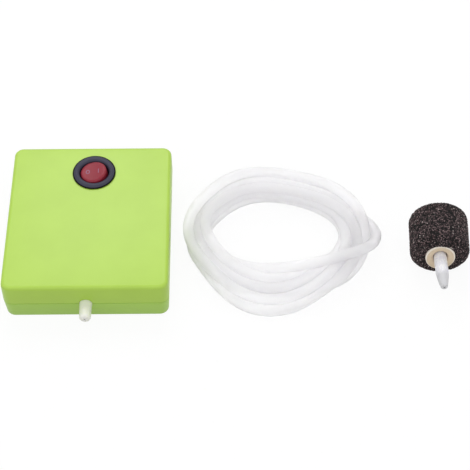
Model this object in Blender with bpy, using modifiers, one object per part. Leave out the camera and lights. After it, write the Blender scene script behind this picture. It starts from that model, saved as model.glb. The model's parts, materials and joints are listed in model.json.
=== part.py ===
"""Battery aquarium air pump with its airline tube and air stone, as an assembly of separate pieces.

Metres, +Z up. The origin is the centre of the pump's rest face. The outlet nozzle points to -Y, the
battery bay is on the -X side and the motor on the +X side. The coiled airline tube and the air stone
stand on the same surface, at +X of the pump.
"""
import math

import bmesh
import bpy
from mathutils import Matrix, Vector

MM = 0.001

# ---------------------------------------------------------------- driving dimensions
GAP = 0.3 * MM                      # play between pieces that touch
RIB = 1.2 * MM                      # thickness of the inner ribs

# Housing
WIDTH = 90 * MM
DEPTH = 99 * MM
HEIGHT = 26 * MM
PARTING_HEIGHT = 12 * MM            # where the two halves meet, on the outlet's axis
WALL = 2 * MM
CORNER_RADIUS = 5 * MM
TOP_ROUND = 2 * MM
BASE_ROUND = 0.8 * MM
TOP_DRAFT = math.radians(0.5)
BASE_DRAFT = math.radians(3)
LIP_THICKNESS = 1 * MM
LIP_HEIGHT = 1.5 * MM
LIP_SHELF = 2.5 * MM

# Housing screws
SCREW_INSET = 7.5 * MM
SCREW_RADIUS = 1.2 * MM
SCREW_HEAD_RADIUS = 2.4 * MM
SCREW_HEAD_HEIGHT = 1.5 * MM
SCREW_SUNK = 0.5 * MM
SCREW_BITE = 6 * MM
POST_WALL = 1.8 * MM

# Round rocker switch
SWITCH_OFFSET = 1.5 * MM            # to the right of the middle
SWITCH_INSET = 19.2 * MM            # from the back
BEZEL_RADIUS = 12.15 * MM
BEZEL_HEIGHT = 1.7 * MM
BARREL_RADIUS = 9.8 * MM
BARREL_DEPTH = 13 * MM
BARREL_FLOOR = 1.5 * MM
ROCKER_PLAN_RADIUS = 7.5 * MM
ROCKER_SWEEP_RADIUS = 8 * MM
ROCKER_RISE = 3.4 * MM                # from the pivot to the rocker's two crests
ROCKER_DISH = 1 * MM
ROCKER_SKIRT = 3 * MM
ROCKER_PROUD = 0.2 * MM               # crest over bezel with the rocker level
ROCKER_TILT = math.radians(10)
PIVOT_PIN_RADIUS = 1.2 * MM
PIVOT_PIN_REACH = 1.2 * MM
TERMINAL_WIDTH = 4.8 * MM
TERMINAL_THICKNESS = 0.8 * MM
TERMINAL_LENGTH = 7 * MM
TERMINAL_SPACING = 8 * MM
TERMINAL_INSIDE = 2.5 * MM

# Battery cells, bay and door
CELL_RADIUS = 7.25 * MM
CELL_LENGTH = 50.5 * MM
BUTTON_RADIUS = 2.75 * MM
BUTTON_LENGTH = 1.3 * MM
BAY_CENTRE_Y = -2 * MM
BAY_WALL_RISE = 3 * MM              # over the cells' axes
CONTACT_THICKNESS = 0.4 * MM
CONTACT_HALF = 4.5 * MM
CONTACT_TAB_WIDTH = 3 * MM
CONTACT_TAB_LENGTH = 3 * MM
SPRING_LENGTH = 3.6 * MM
SPRING_WIRE_RADIUS = 0.3 * MM
SPRING_TURNS = 3
SPRING_WIDE_RADIUS = 4 * MM
SPRING_NARROW_RADIUS = 2.2 * MM
DOOR_THICKNESS = 2 * MM
DOOR_TONGUE = 1 * MM
DOOR_TONGUE_THICKNESS = 0.7 * MM
RAIL_THICKNESS = 2.4 * MM
RAIL_COVER = 1.2 * MM               # rail over the door's top
GRIP_LENGTH = 20 * MM
GRIP_WIDTH = 1 * MM
GRIP_DEPTH = 0.5 * MM
GRIP_COUNT = 4

# Motor
MOTOR_SIDE_GAP = 4 * MM
MOTOR_RADIUS = 10 * MM
MOTOR_FLAT_HALF = 7.5 * MM
MOTOR_LENGTH = 25 * MM
MOTOR_SHELL = 0.8 * MM
MOTOR_BOSS_RADIUS = 3 * MM
MOTOR_BOSS_LENGTH = 1.5 * MM
MOTOR_CAP_THICKNESS = 2.5 * MM
MOTOR_TAB_LENGTH = 3 * MM
MOTOR_TAB_SPACING = 10 * MM
SHAFT_RADIUS = 1 * MM
ARMATURE_RADIUS = 5.6 * MM
ARMATURE_LENGTH = 14 * MM
ARMATURE_SLOT = 1.6 * MM

# Eccentric and connecting rod
WHEEL_RADIUS = 5 * MM
WHEEL_THICKNESS = 3 * MM
CRANK_THROW = 1.2 * MM
CRANK_PIN_RADIUS = 1.2 * MM
ROD_THICKNESS = 3.4 * MM
ROD_EYE_WALL = 2 * MM
ROD_SHANK_HEIGHT = 3 * MM
ROD_FOOT_RADIUS = 3 * MM
ROD_FOOT_THICKNESS = 1.5 * MM
OPEN_PIVOT_GAP = 0.5 * MM           # over the crank's throw, between rod and diaphragm

# Pump head
HEAD_SETBACK = 28 * MM              # from the front of the housing to the head's front
HEAD_HALF_WIDTH = 9.5 * MM
HEAD_HALF_HEIGHT = 8.8 * MM
COVER_THICKNESS = 5 * MM
SHEET_THICKNESS = 0.8 * MM
HEAD_THICKNESS = 8 * MM
DIAPHRAGM_RADIUS = 8.5 * MM
DIAPHRAGM_THICKNESS = 1 * MM
DIAPHRAGM_ROLL_RADIUS = 1.4 * MM
DIAPHRAGM_BOSS_RADIUS = 3 * MM
DIAPHRAGM_BOSS_LENGTH = 3 * MM
RETAINER_THICKNESS = 2 * MM
CHAMBER_RADIUS = 6.8 * MM
CHAMBER_DEPTH = 2 * MM
PORT_RADIUS = 1.2 * MM
PORT_RISE = 4.5 * MM
POCKET_RADIUS = 2.6 * MM
FLAP_HALF = 1.9 * MM
FLAP_SLOT = 0.4 * MM
HEAD_SCREW_Y = 7.6 * MM
HEAD_SCREW_Z = 6.9 * MM
HEAD_SCREW_RADIUS = 0.9 * MM
HEAD_SCREW_HEAD_RADIUS = 1.7 * MM
HEAD_SCREW_HEAD_HEIGHT = 1.1 * MM
HEAD_SCREW_BITE = 3 * MM

# Outlet
STUB_RADIUS = 2.2 * MM
STUB_LENGTH = 6 * MM
OUTLET_BORE_RADIUS = 1 * MM
HOSE_WALL = 1.2 * MM
NOZZLE_RADIUS = 3.2 * MM
NOZZLE_WAIST = 0.15 * MM
NOZZLE_REACH = 10.6 * MM
NOZZLE_TIP_ROUND = 1.9 * MM
NOZZLE_FLANGE_RADIUS = 5 * MM
NOZZLE_FLANGE_THICKNESS = 1.2 * MM
NOZZLE_BARB_LENGTH = 6 * MM

# Air intake
INTAKE_X = 24 * MM
INTAKE_FRONT_INSET = 12 * MM
FILTER_RADIUS = 5 * MM
FILTER_THICKNESS = 2 * MM
INTAKE_HOLE_RADIUS = 0.8 * MM
INTAKE_HOLE_CIRCLE = 2.6 * MM
INTAKE_HOLES = 6

# Leads
LEAD_RADIUS = 0.6 * MM

# Airline tube in its coil
COIL_CENTRE_X = 106.3 * MM
COIL_CENTRE_Y = -1 * MM
COIL_OUTER_RADIUS = 51 * MM
COIL_BUNDLE_WIDTH = 20 * MM
COIL_BUNDLE_HEIGHT = 17 * MM
COIL_BUNDLE_ROUND = 5 * MM

# Air stone
STONE_X = 193.4 * MM
STONE_FRONT_Y = -23.1 * MM
STONE_RADIUS = 16.45 * MM
STONE_LENGTH = 26.4 * MM
STONE_ROUND = 3.4 * MM
STONE_TURN = math.radians(-2.8)     # its front faces a little to the left
COLLAR_RADIUS = 8.1 * MM
COLLAR_THICKNESS = 1.6 * MM
COLLAR_HUB_RADIUS = 5 * MM
COLLAR_HUB_LENGTH = 6 * MM
COLLAR_TURN = math.radians(-0.5)    # the collar and spigot are glued in a little askew
COLLAR_RISE = math.radians(8)
SPIGOT_RADIUS = 3.55 * MM
SPIGOT_REACH = 21.5 * MM
SPIGOT_TAPER = 12 * MM
SPIGOT_TIP_RADIUS = 2 * MM
SPIGOT_BORE_RADIUS = 1.3 * MM

SINK = 0.5 * MM                     # how far a fused feature runs into what carries it
PAST = 1 * MM                       # how far a cutter runs past the face that it cuts

# ---------------------------------------------------------------- places worked out from them
half_width = WIDTH / 2
half_depth = DEPTH / 2
floor = WALL
ceiling = HEIGHT - WALL
parting_low = PARTING_HEIGHT - GAP / 2
parting_high = PARTING_HEIGHT + GAP / 2
base_inset = math.tan(BASE_DRAFT) * PARTING_HEIGHT
top_inset = math.tan(TOP_DRAFT) * (HEIGHT - PARTING_HEIGHT)
lip_inset = WALL + GAP
lip_inner_inset = lip_inset + LIP_THICKNESS
axis_height = PARTING_HEIGHT

cell_side = half_width - lip_inner_inset - 2 * GAP
cell_left_x = CELL_RADIUS - cell_side
cell_right_x = cell_left_x + 2 * (CELL_RADIUS + GAP)
cell_z = DOOR_THICKNESS + GAP + CELL_RADIUS
bay_side_x = cell_right_x + CELL_RADIUS + 2 * GAP
bay_length = CELL_LENGTH + SPRING_LENGTH + 2 * CONTACT_THICKNESS + 5 * GAP
bay_front_y = BAY_CENTRE_Y - bay_length / 2
bay_back_y = BAY_CENTRE_Y + bay_length / 2
bay_wall_top = cell_z + BAY_WALL_RISE

switch_x = SWITCH_OFFSET
switch_y = half_depth - SWITCH_INSET
pivot_z = HEIGHT + BEZEL_HEIGHT + ROCKER_PROUD - ROCKER_RISE
barrel_bottom = HEIGHT - BARREL_DEPTH

head_front_y = HEAD_SETBACK - half_depth
head_y = head_front_y + HEAD_HALF_WIDTH
cover_left_x = -COVER_THICKNESS / 2
cover_right_x = COVER_THICKNESS / 2
sheet_left_x = cover_right_x + GAP
sheet_right_x = sheet_left_x + SHEET_THICKNESS
head_left_x = sheet_right_x + GAP
head_right_x = head_left_x + HEAD_THICKNESS
diaphragm_left_x = head_right_x + GAP
diaphragm_right_x = diaphragm_left_x + DIAPHRAGM_THICKNESS
retainer_left_x = diaphragm_right_x + GAP
retainer_right_x = retainer_left_x + RETAINER_THICKNESS
diaphragm_boss_x = diaphragm_left_x + DIAPHRAGM_BOSS_LENGTH

motor_x = half_width - lip_inner_inset - MOTOR_SIDE_GAP - MOTOR_RADIUS
wheel_front_y = head_y + ROD_THICKNESS / 2 + GAP
wheel_back_y = wheel_front_y + WHEEL_THICKNESS
motor_front_y = head_y + HEAD_HALF_WIDTH + RIB + 2 * GAP
motor_boss_y = motor_front_y - MOTOR_BOSS_LENGTH
motor_back_y = motor_front_y + MOTOR_LENGTH
crank_z = axis_height + CRANK_THROW

nozzle_flange_y = -(half_depth - WALL) + GAP
nozzle_barb_y = nozzle_flange_y + NOZZLE_FLANGE_THICKNESS + NOZZLE_BARB_LENGTH
intake_y = INTAKE_FRONT_INSET - half_depth

ROUND = 28                          # sides of the larger round pieces
SMALL_ROUND = 20                    # sides of the smaller ones


# ---------------------------------------------------------------- scene and helpers
for leftover in list(bpy.data.objects):
    bpy.data.objects.remove(leftover, do_unlink=True)


def new_collection(name):
    """A collection linked to the scene."""
    group = bpy.data.collections.new(name)
    bpy.context.scene.collection.children.link(group)
    return group


parts = new_collection("aquarium_air_pump")
cutters = new_collection("cutters")


def finish(name, colour, roughness, metallic=0.0):
    """A plain Principled material."""
    surface = bpy.data.materials.new(name)
    surface.use_nodes = True
    shader = surface.node_tree.nodes["Principled BSDF"]
    shader.inputs["Base Color"].default_value = (*colour, 1)
    shader.inputs["Roughness"].default_value = roughness
    shader.inputs["Metallic"].default_value = metallic
    surface.diffuse_color = (*colour, 1)
    return surface


def mesh_from(shape, name):
    """Turn a bmesh into a mesh with its normals facing out."""
    bmesh.ops.recalc_face_normals(shape, faces=shape.faces)
    mesh = bpy.data.meshes.new(name)
    shape.to_mesh(mesh)
    shape.free()
    return mesh


def block(low, high):
    """A box between two corners."""
    low = Vector(low)
    high = Vector(high)
    shape = bmesh.new()
    bmesh.ops.create_cube(shape, size=1)
    bmesh.ops.scale(shape, vec=high - low, verts=shape.verts)
    bmesh.ops.translate(shape, vec=(low + high) / 2, verts=shape.verts)
    return mesh_from(shape, "block")


def round_bar(start, end, radius, end_radius=None, sides=SMALL_ROUND):
    """A cylinder or cone frustum from start to end."""
    start = Vector(start)
    end = Vector(end)
    run = end - start
    shape = bmesh.new()
    bmesh.ops.create_cone(
        shape, cap_ends=True, segments=sides, radius1=radius,
        radius2=radius if end_radius is None else end_radius, depth=run.length)
    turn = run.to_track_quat("Z", "Y").to_matrix().to_4x4()
    bmesh.ops.transform(
        shape, matrix=Matrix.Translation((start + end) / 2) @ turn, verts=shape.verts)
    mesh = mesh_from(shape, "round_bar")
    mesh.shade_smooth()
    mesh.set_sharp_from_angle(angle=math.radians(35))
    return mesh


def drafted_box(bottom, top, bottom_inset, top_inset, corner, bottom_round=0.0, top_round=0.0,
                corner_steps=6):
    """A box as wide and deep as the housing less an inset at each end, with its edges rounded."""
    shape = bmesh.new()
    bmesh.ops.create_cube(shape, size=2)
    for vertex in shape.verts:
        inset = top_inset if vertex.co.z > 0 else bottom_inset
        vertex.co.x *= half_width - inset
        vertex.co.y *= half_depth - inset
        vertex.co.z = top if vertex.co.z > 0 else bottom
    uprights = [edge for edge in shape.edges if abs(edge.verts[0].co.z - edge.verts[1].co.z) > GAP]
    rounded = bmesh.ops.bevel(shape, geom=uprights, offset=corner, segments=corner_steps, profile=0.5,
                              affect="EDGES", clamp_overlap=True)["faces"]
    for face in rounded:
        face.smooth = True
    for level, radius in ((top, top_round), (bottom, bottom_round)):
        if radius > 0:
            rim = [edge for edge in shape.edges
                   if all(abs(vertex.co.z - level) < GAP / 10 for vertex in edge.verts)]
            rounded = bmesh.ops.bevel(shape, geom=rim, offset=radius, segments=4, profile=0.5,
                                      affect="EDGES", clamp_overlap=True)["faces"]
            for face in rounded:
                face.smooth = True
    return mesh_from(shape, "drafted_box")


def add_part(name, mesh, surface):
    """Make the object that is one piece of the pump."""
    piece = bpy.data.objects.new(name, mesh)
    mesh.name = name
    mesh.materials.clear()
    mesh.materials.append(surface)
    parts.objects.link(piece)
    return piece


def add_tool(piece, mesh, operation):
    """Use a mesh on a piece through a Boolean."""
    tool = bpy.data.objects.new(piece.name + "_" + operation.lower(), mesh)
    cutters.objects.link(tool)
    tool.hide_render = True
    tool.display_type = "WIRE"
    change = piece.modifiers.new(operation.title(), "BOOLEAN")
    change.operation = operation
    change.solver = "EXACT"
    change.object = tool
    return tool


def cut(piece, mesh):
    """Take a mesh away from a piece."""
    return add_tool(piece, mesh, "DIFFERENCE")


def fuse(piece, mesh):
    """Add a mesh to a piece."""
    return add_tool(piece, mesh, "UNION")


def keep_inside(piece, mesh):
    """Keep what a piece and a mesh share."""
    return add_tool(piece, mesh, "INTERSECT")


AIMS = {
    "+Z": Matrix.Identity(4),
    "-Z": Matrix.Rotation(math.pi, 4, "X"),
    "-Y": Matrix.Rotation(math.pi / 2, 4, "X"),
    "+Y": Matrix.Rotation(-math.pi / 2, 4, "X"),
    "+X": Matrix.Rotation(math.pi / 2, 4, "Y"),
    "-X": Matrix.Rotation(-math.pi / 2, 4, "Y"),
}


def turned(name, profile, origin, aim, surface, sides=ROUND, lean=Matrix.Identity(4)):
    """Turn a profile of (radius, height) points, listed top to bottom on the outer side."""
    mesh = bpy.data.meshes.new(name)
    points = [(radius, 0, height) for radius, height in profile]
    closed = min(radius for radius, height in profile) > 0
    edges = [(i, i + 1) for i in range(len(points) - 1)]
    if closed:
        edges.append((len(points) - 1, 0))
    mesh.from_pydata(points, edges, [])
    piece = add_part(name, mesh, surface)
    piece.matrix_world = Matrix.Translation(origin) @ lean @ AIMS[aim]
    screw = piece.modifiers.new("Turn", "SCREW")
    screw.angle = 2 * math.pi
    screw.steps = sides
    screw.render_steps = sides
    screw.use_merge_vertices = True
    screw.merge_threshold = 0.00001
    screw.use_smooth_shade = True
    return piece


def arc(centre, radius, start, end, steps):
    """Points along an arc in the plane of a profile, angles in degrees."""
    points = []
    for i in range(steps + 1):
        angle = math.radians(start + (end - start) * i / steps)
        points.append((centre[0] + radius * math.cos(angle), centre[1] + radius * math.sin(angle)))
    return points


def smooth_route(stops, spacing):
    """Points at an even spacing along a smooth curve through the stops."""
    stops = [Vector(stop) for stop in stops]
    ends = [2 * stops[0] - stops[1]] + stops + [2 * stops[-1] - stops[-2]]
    fine = []
    steps = 24
    for i in range(1, len(ends) - 2):
        before, here, there, after = ends[i - 1:i + 3]
        for step in range(steps):
            t = step / steps
            fine.append(0.5 * (2 * here + (there - before) * t
                               + (2 * before - 5 * here + 4 * there - after) * t * t
                               + (3 * here - before - 3 * there + after) * t ** 3))
    fine.append(stops[-1])
    length = sum((b - a).length for a, b in zip(fine, fine[1:]))
    count = max(4, round(length / spacing))
    points = [fine[0]]
    target = length / count
    walked = 0.0
    for a, b in zip(fine, fine[1:]):
        step = (b - a).length
        while walked + step >= target * len(points) and len(points) < count:
            points.append(a.lerp(b, (target * len(points) - walked) / step))
        walked += step
    points.append(fine[-1])
    return points


def wire(name, points, radius, surface):
    """A round wire along points."""
    line = bpy.data.curves.new(name, "CURVE")
    line.dimensions = "3D"
    line.bevel_depth = radius
    line.bevel_resolution = 2
    line.use_fill_caps = True
    spline = line.splines.new("POLY")
    spline.points.add(len(points) - 1)
    for place, point in zip(spline.points, points):
        place.co = (*point, 1)
    line.materials.append(surface)
    piece = bpy.data.objects.new(name, line)
    parts.objects.link(piece)
    return piece


def pivot(name, place):
    """An empty on a joint's axis."""
    empty = bpy.data.objects.new(name, None)
    empty.location = place
    empty.empty_display_size = 5 * MM
    parts.objects.link(empty)
    bpy.context.view_layer.update()
    return empty


def carry(empty, pieces):
    """Hang pieces on a joint's empty, where they are."""
    for piece in pieces:
        piece.parent = empty
        piece.matrix_parent_inverse = empty.matrix_world.inverted()


# ---------------------------------------------------------------- finishes
green_plastic = finish("green_plastic", (0.56, 0.78, 0.22), 0.4)
green_door_plastic = finish("green_door_plastic", (0.54, 0.76, 0.21), 0.42)
black_plastic = finish("black_plastic", (0.03, 0.035, 0.04), 0.4)
red_plastic = finish("red_plastic", (0.45, 0.04, 0.06), 0.35)
cream_plastic = finish("cream_plastic", (0.78, 0.8, 0.7), 0.45)
white_plastic = finish("white_plastic", (0.8, 0.8, 0.78), 0.45)
brass = finish("brass", (0.78, 0.6, 0.28), 0.3, 1.0)
steel = finish("steel", (0.6, 0.6, 0.62), 0.35, 1.0)
zinc_screw = finish("zinc_screw", (0.65, 0.65, 0.66), 0.4, 1.0)
cell_wrap = finish("cell_wrap", (0.12, 0.13, 0.15), 0.35)
black_rubber = finish("black_rubber", (0.03, 0.03, 0.03), 0.8)
clear_silicone = finish("clear_silicone", (0.8, 0.83, 0.85), 0.3)
filter_felt = finish("filter_felt", (0.75, 0.75, 0.7), 0.95)
red_lead = finish("red_lead", (0.5, 0.03, 0.03), 0.5)
black_lead = finish("black_lead", (0.02, 0.02, 0.02), 0.5)
lava_grit = finish("lava_grit", (0.05, 0.035, 0.03), 0.95)
beige_plastic = finish("beige_plastic", (0.68, 0.58, 0.42), 0.55)


# ---------------------------------------------------------------- housing
def screw_places():
    """The four housing screws, front left first."""
    x = half_width - SCREW_INSET
    y = half_depth - SCREW_INSET
    return [("front_left", -x, -y), ("front_right", x, -y), ("back_left", -x, y), ("back_right", x, y)]


def base_outside():
    """The outer form of the lower half, without its openings."""
    return drafted_box(0, parting_low, base_inset, 0, CORNER_RADIUS, bottom_round=BASE_ROUND)


def intake_holes():
    """Places of the intake holes round the middle of the filter."""
    places = [(INTAKE_X, intake_y)]
    for i in range(INTAKE_HOLES):
        angle = 2 * math.pi * i / INTAKE_HOLES
        places.append((INTAKE_X + INTAKE_HOLE_CIRCLE * math.cos(angle),
                       intake_y + INTAKE_HOLE_CIRCLE * math.sin(angle)))
    return places


def make_base_housing():
    """The lower half: tray, lip, battery bay with the door's rails, and the seats of motor and head."""
    inner_corner = max(CORNER_RADIUS - WALL, WALL / 4)
    base = add_part("base_housing", base_outside(), green_plastic)
    cut(base, drafted_box(floor, parting_low + PAST, base_inset + WALL, WALL, inner_corner,
                          corner_steps=3))
    # The lip stands on a shelf inside the wall and reaches up into the top half.
    fuse(base, drafted_box(parting_low - LIP_SHELF, parting_low, WALL - SINK, WALL - SINK,
                           inner_corner, corner_steps=3))
    fuse(base, drafted_box(parting_low - LIP_SHELF / 2, PARTING_HEIGHT + LIP_HEIGHT, lip_inset,
                           lip_inset, inner_corner, corner_steps=3))
    cut(base, drafted_box(parting_low - LIP_SHELF - PAST, PARTING_HEIGHT + LIP_HEIGHT + PAST,
                          lip_inner_inset, lip_inner_inset,
                          max(inner_corner - LIP_THICKNESS, WALL / 4), corner_steps=3))

    # Battery bay: an inner side wall and two end walls that stand on the door's rails.
    wall_foot = floor - SINK
    fuse(base, block((bay_side_x, bay_front_y - RIB, wall_foot),
                     (bay_side_x + RIB, bay_back_y + RIB, bay_wall_top)))
    bay_outer_x = -(half_width - WALL - base_inset) - SINK
    for end_y, side in ((bay_front_y, -1), (bay_back_y, 1)):
        low_y, high_y = sorted((end_y, end_y + side * RIB))
        fuse(base, block((bay_outer_x, low_y, wall_foot), (bay_side_x + SINK, high_y, bay_wall_top)))
        low_y, high_y = sorted((end_y, end_y + side * RAIL_THICKNESS))
        fuse(base, block((bay_outer_x, low_y, wall_foot),
                         (bay_side_x + RIB, high_y, DOOR_THICKNESS + RAIL_COVER)))
    groove_low = (DOOR_THICKNESS - DOOR_TONGUE_THICKNESS) / 2 - GAP
    groove_high = groove_low + DOOR_TONGUE_THICKNESS + 2 * GAP
    cut(base, block((-half_width - PAST, bay_front_y, -PAST),
                    (bay_side_x, bay_back_y, DOOR_THICKNESS + GAP)))
    cut(base, block((-half_width - PAST, bay_front_y - DOOR_TONGUE, groove_low),
                    (bay_side_x, bay_back_y + DOOR_TONGUE, groove_high)))

    # Seats of the pump head: a pad under it and a fence before and behind.
    head_bottom = axis_height - HEAD_HALF_HEIGHT
    fuse(base, block((cover_left_x, head_y - HEAD_HALF_WIDTH + RIB, wall_foot),
                     (retainer_right_x, head_y + HEAD_HALF_WIDTH - RIB, head_bottom - GAP)))
    fence_top = axis_height - STUB_RADIUS - 2 * GAP - HOSE_WALL
    for side in (-1, 1):
        near_y = head_y + side * (HEAD_HALF_WIDTH + GAP)
        low_y, high_y = sorted((near_y, near_y + side * RIB))
        fuse(base, block((cover_left_x, low_y, wall_foot), (head_right_x, high_y, fence_top)))

    # Two saddles under the motor's lower flat, with cheeks beside it.
    seat = axis_height - MOTOR_FLAT_HALF - GAP
    for share in (0.2, 0.7):
        y = motor_front_y + share * MOTOR_LENGTH
        saddle = block((motor_x - MOTOR_RADIUS - RIB, y - RIB / 2, wall_foot),
                       (motor_x + MOTOR_RADIUS + RIB, y + RIB / 2, axis_height - RIB))
        fuse(base, saddle)
    can_room = MOTOR_RADIUS + GAP
    cut(base, block((motor_x - can_room, motor_front_y, seat),
                    (motor_x + can_room, motor_back_y, PARTING_HEIGHT + LIP_HEIGHT)))

    # Filter cup over the intake holes.
    cup_height = floor + GAP + FILTER_THICKNESS
    fuse(base, round_bar((INTAKE_X, intake_y, wall_foot), (INTAKE_X, intake_y, cup_height),
                         FILTER_RADIUS + GAP + RIB, sides=ROUND))
    cut(base, round_bar((INTAKE_X, intake_y, floor), (INTAKE_X, intake_y, cup_height + PAST),
                        FILTER_RADIUS + GAP, sides=ROUND))
    for x, y in intake_holes():
        cut(base, round_bar((x, y, -PAST), (x, y, floor + PAST), INTAKE_HOLE_RADIUS, sides=12))

    # Screw posts with sunk heads.
    for _, x, y in screw_places():
        fuse(base, round_bar((x, y, wall_foot), (x, y, parting_low),
                             SCREW_RADIUS + GAP + POST_WALL))
        cut(base, round_bar((x, y, -PAST), (x, y, parting_low + PAST), SCREW_RADIUS + GAP))
        cut(base, round_bar((x, y, -PAST), (x, y, SCREW_SUNK + SCREW_HEAD_HEIGHT + GAP),
                            SCREW_HEAD_RADIUS + GAP))

    make_outlet_hole(base)
    # The lip stops short of the nozzle's flange.
    flange_room = NOZZLE_FLANGE_RADIUS + 2 * GAP
    cut(base, block((-flange_room, -(half_depth - WALL), axis_height - flange_room),
                    (flange_room, -(half_depth - WALL) + WALL + LIP_THICKNESS,
                     axis_height + flange_room)))
    return base


def make_outlet_hole(piece):
    """Half of the outlet's hole is in each half of the housing."""
    cut(piece, round_bar((0, -half_depth - PAST, axis_height),
                         (0, -half_depth + WALL + PAST, axis_height),
                         NOZZLE_RADIUS + GAP, sides=ROUND))


def make_top_housing():
    """The upper half: cover, screw bosses, and ribs that hold down what lies in the base."""
    inner_corner = max(CORNER_RADIUS - WALL, WALL / 4)
    top = add_part("top_housing", drafted_box(parting_high, HEIGHT, 0, top_inset, CORNER_RADIUS,
                                              top_round=TOP_ROUND), green_plastic)
    cut(top, drafted_box(parting_high - PAST, ceiling, WALL, WALL + top_inset, inner_corner,
                         top_round=max(TOP_ROUND - WALL, WALL / 4), corner_steps=3))
    rib_root = ceiling + SINK
    for _, x, y in screw_places():
        fuse(top, round_bar((x, y, parting_high), (x, y, rib_root),
                            SCREW_RADIUS + GAP + POST_WALL))
        cut(top, round_bar((x, y, parting_high - PAST), (x, y, PARTING_HEIGHT + SCREW_BITE + GAP),
                           SCREW_RADIUS + GAP))
    # Ribs over the cells, the motor and the pump head.
    for share in (0.25, 0.75):
        y = bay_front_y + share * bay_length
        fuse(top, block((cell_left_x - CELL_RADIUS / 2, y - RIB / 2, cell_z + CELL_RADIUS + GAP),
                        (cell_right_x + CELL_RADIUS / 2, y + RIB / 2, rib_root)))
    for share in (0.2, 0.7):
        y = motor_front_y + share * MOTOR_LENGTH
        fuse(top, block((motor_x - MOTOR_FLAT_HALF, y - RIB / 2, axis_height + MOTOR_FLAT_HALF + GAP),
                        (motor_x + MOTOR_FLAT_HALF, y + RIB / 2, rib_root)))
    fuse(top, block((head_left_x, head_y - RIB / 2, axis_height + HEAD_HALF_HEIGHT + GAP),
                    (head_right_x, head_y + RIB / 2, rib_root)))
    cut(top, round_bar((switch_x, switch_y, ceiling - PAST), (switch_x, switch_y, HEIGHT + PAST),
                       BARREL_RADIUS + GAP, sides=ROUND))
    make_outlet_hole(top)
    return top


def make_battery_door():
    """The door slides in from the left on two tongues; its outer end completes the housing's wall."""
    inner_x = bay_side_x - GAP
    door = add_part("battery_door", block((-half_width - PAST, bay_front_y + GAP, -PAST),
                                          (inner_x, bay_back_y - GAP, DOOR_THICKNESS)),
                    green_door_plastic)
    tongue_low = (DOOR_THICKNESS - DOOR_TONGUE_THICKNESS) / 2
    fuse(door, block((-half_width - PAST, bay_front_y - DOOR_TONGUE + GAP, tongue_low),
                     (inner_x - RIB, bay_back_y + DOOR_TONGUE - GAP,
                      tongue_low + DOOR_TONGUE_THICKNESS)))
    keep_inside(door, base_outside())
    for i in range(GRIP_COUNT):
        x = cell_left_x + 2 * i * GRIP_WIDTH
        cut(door, block((x, BAY_CENTRE_Y - GRIP_LENGTH / 2, -PAST),
                        (x + GRIP_WIDTH, BAY_CENTRE_Y + GRIP_LENGTH / 2, GRIP_DEPTH)))
    slide = pivot("door_slide", (cell_left_x, BAY_CENTRE_Y, 0))
    carry(slide, [door])
    return door


def make_housing_screws():
    """Four pan-head screws, put in from below."""
    length = PARTING_HEIGHT + SCREW_BITE - SCREW_SUNK
    edge = SCREW_HEAD_RADIUS / 6
    profile = [(0, length), (SCREW_RADIUS / 2, length), (SCREW_RADIUS, length - SCREW_RADIUS),
               (SCREW_RADIUS, SCREW_HEAD_HEIGHT), (SCREW_HEAD_RADIUS, SCREW_HEAD_HEIGHT),
               (SCREW_HEAD_RADIUS, edge), (SCREW_HEAD_RADIUS - edge, 0), (0, 0)]
    for name, x, y in screw_places():
        turned("screw_" + name, profile, (x, y, SCREW_SUNK), "+Z", zinc_screw, sides=12)


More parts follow.
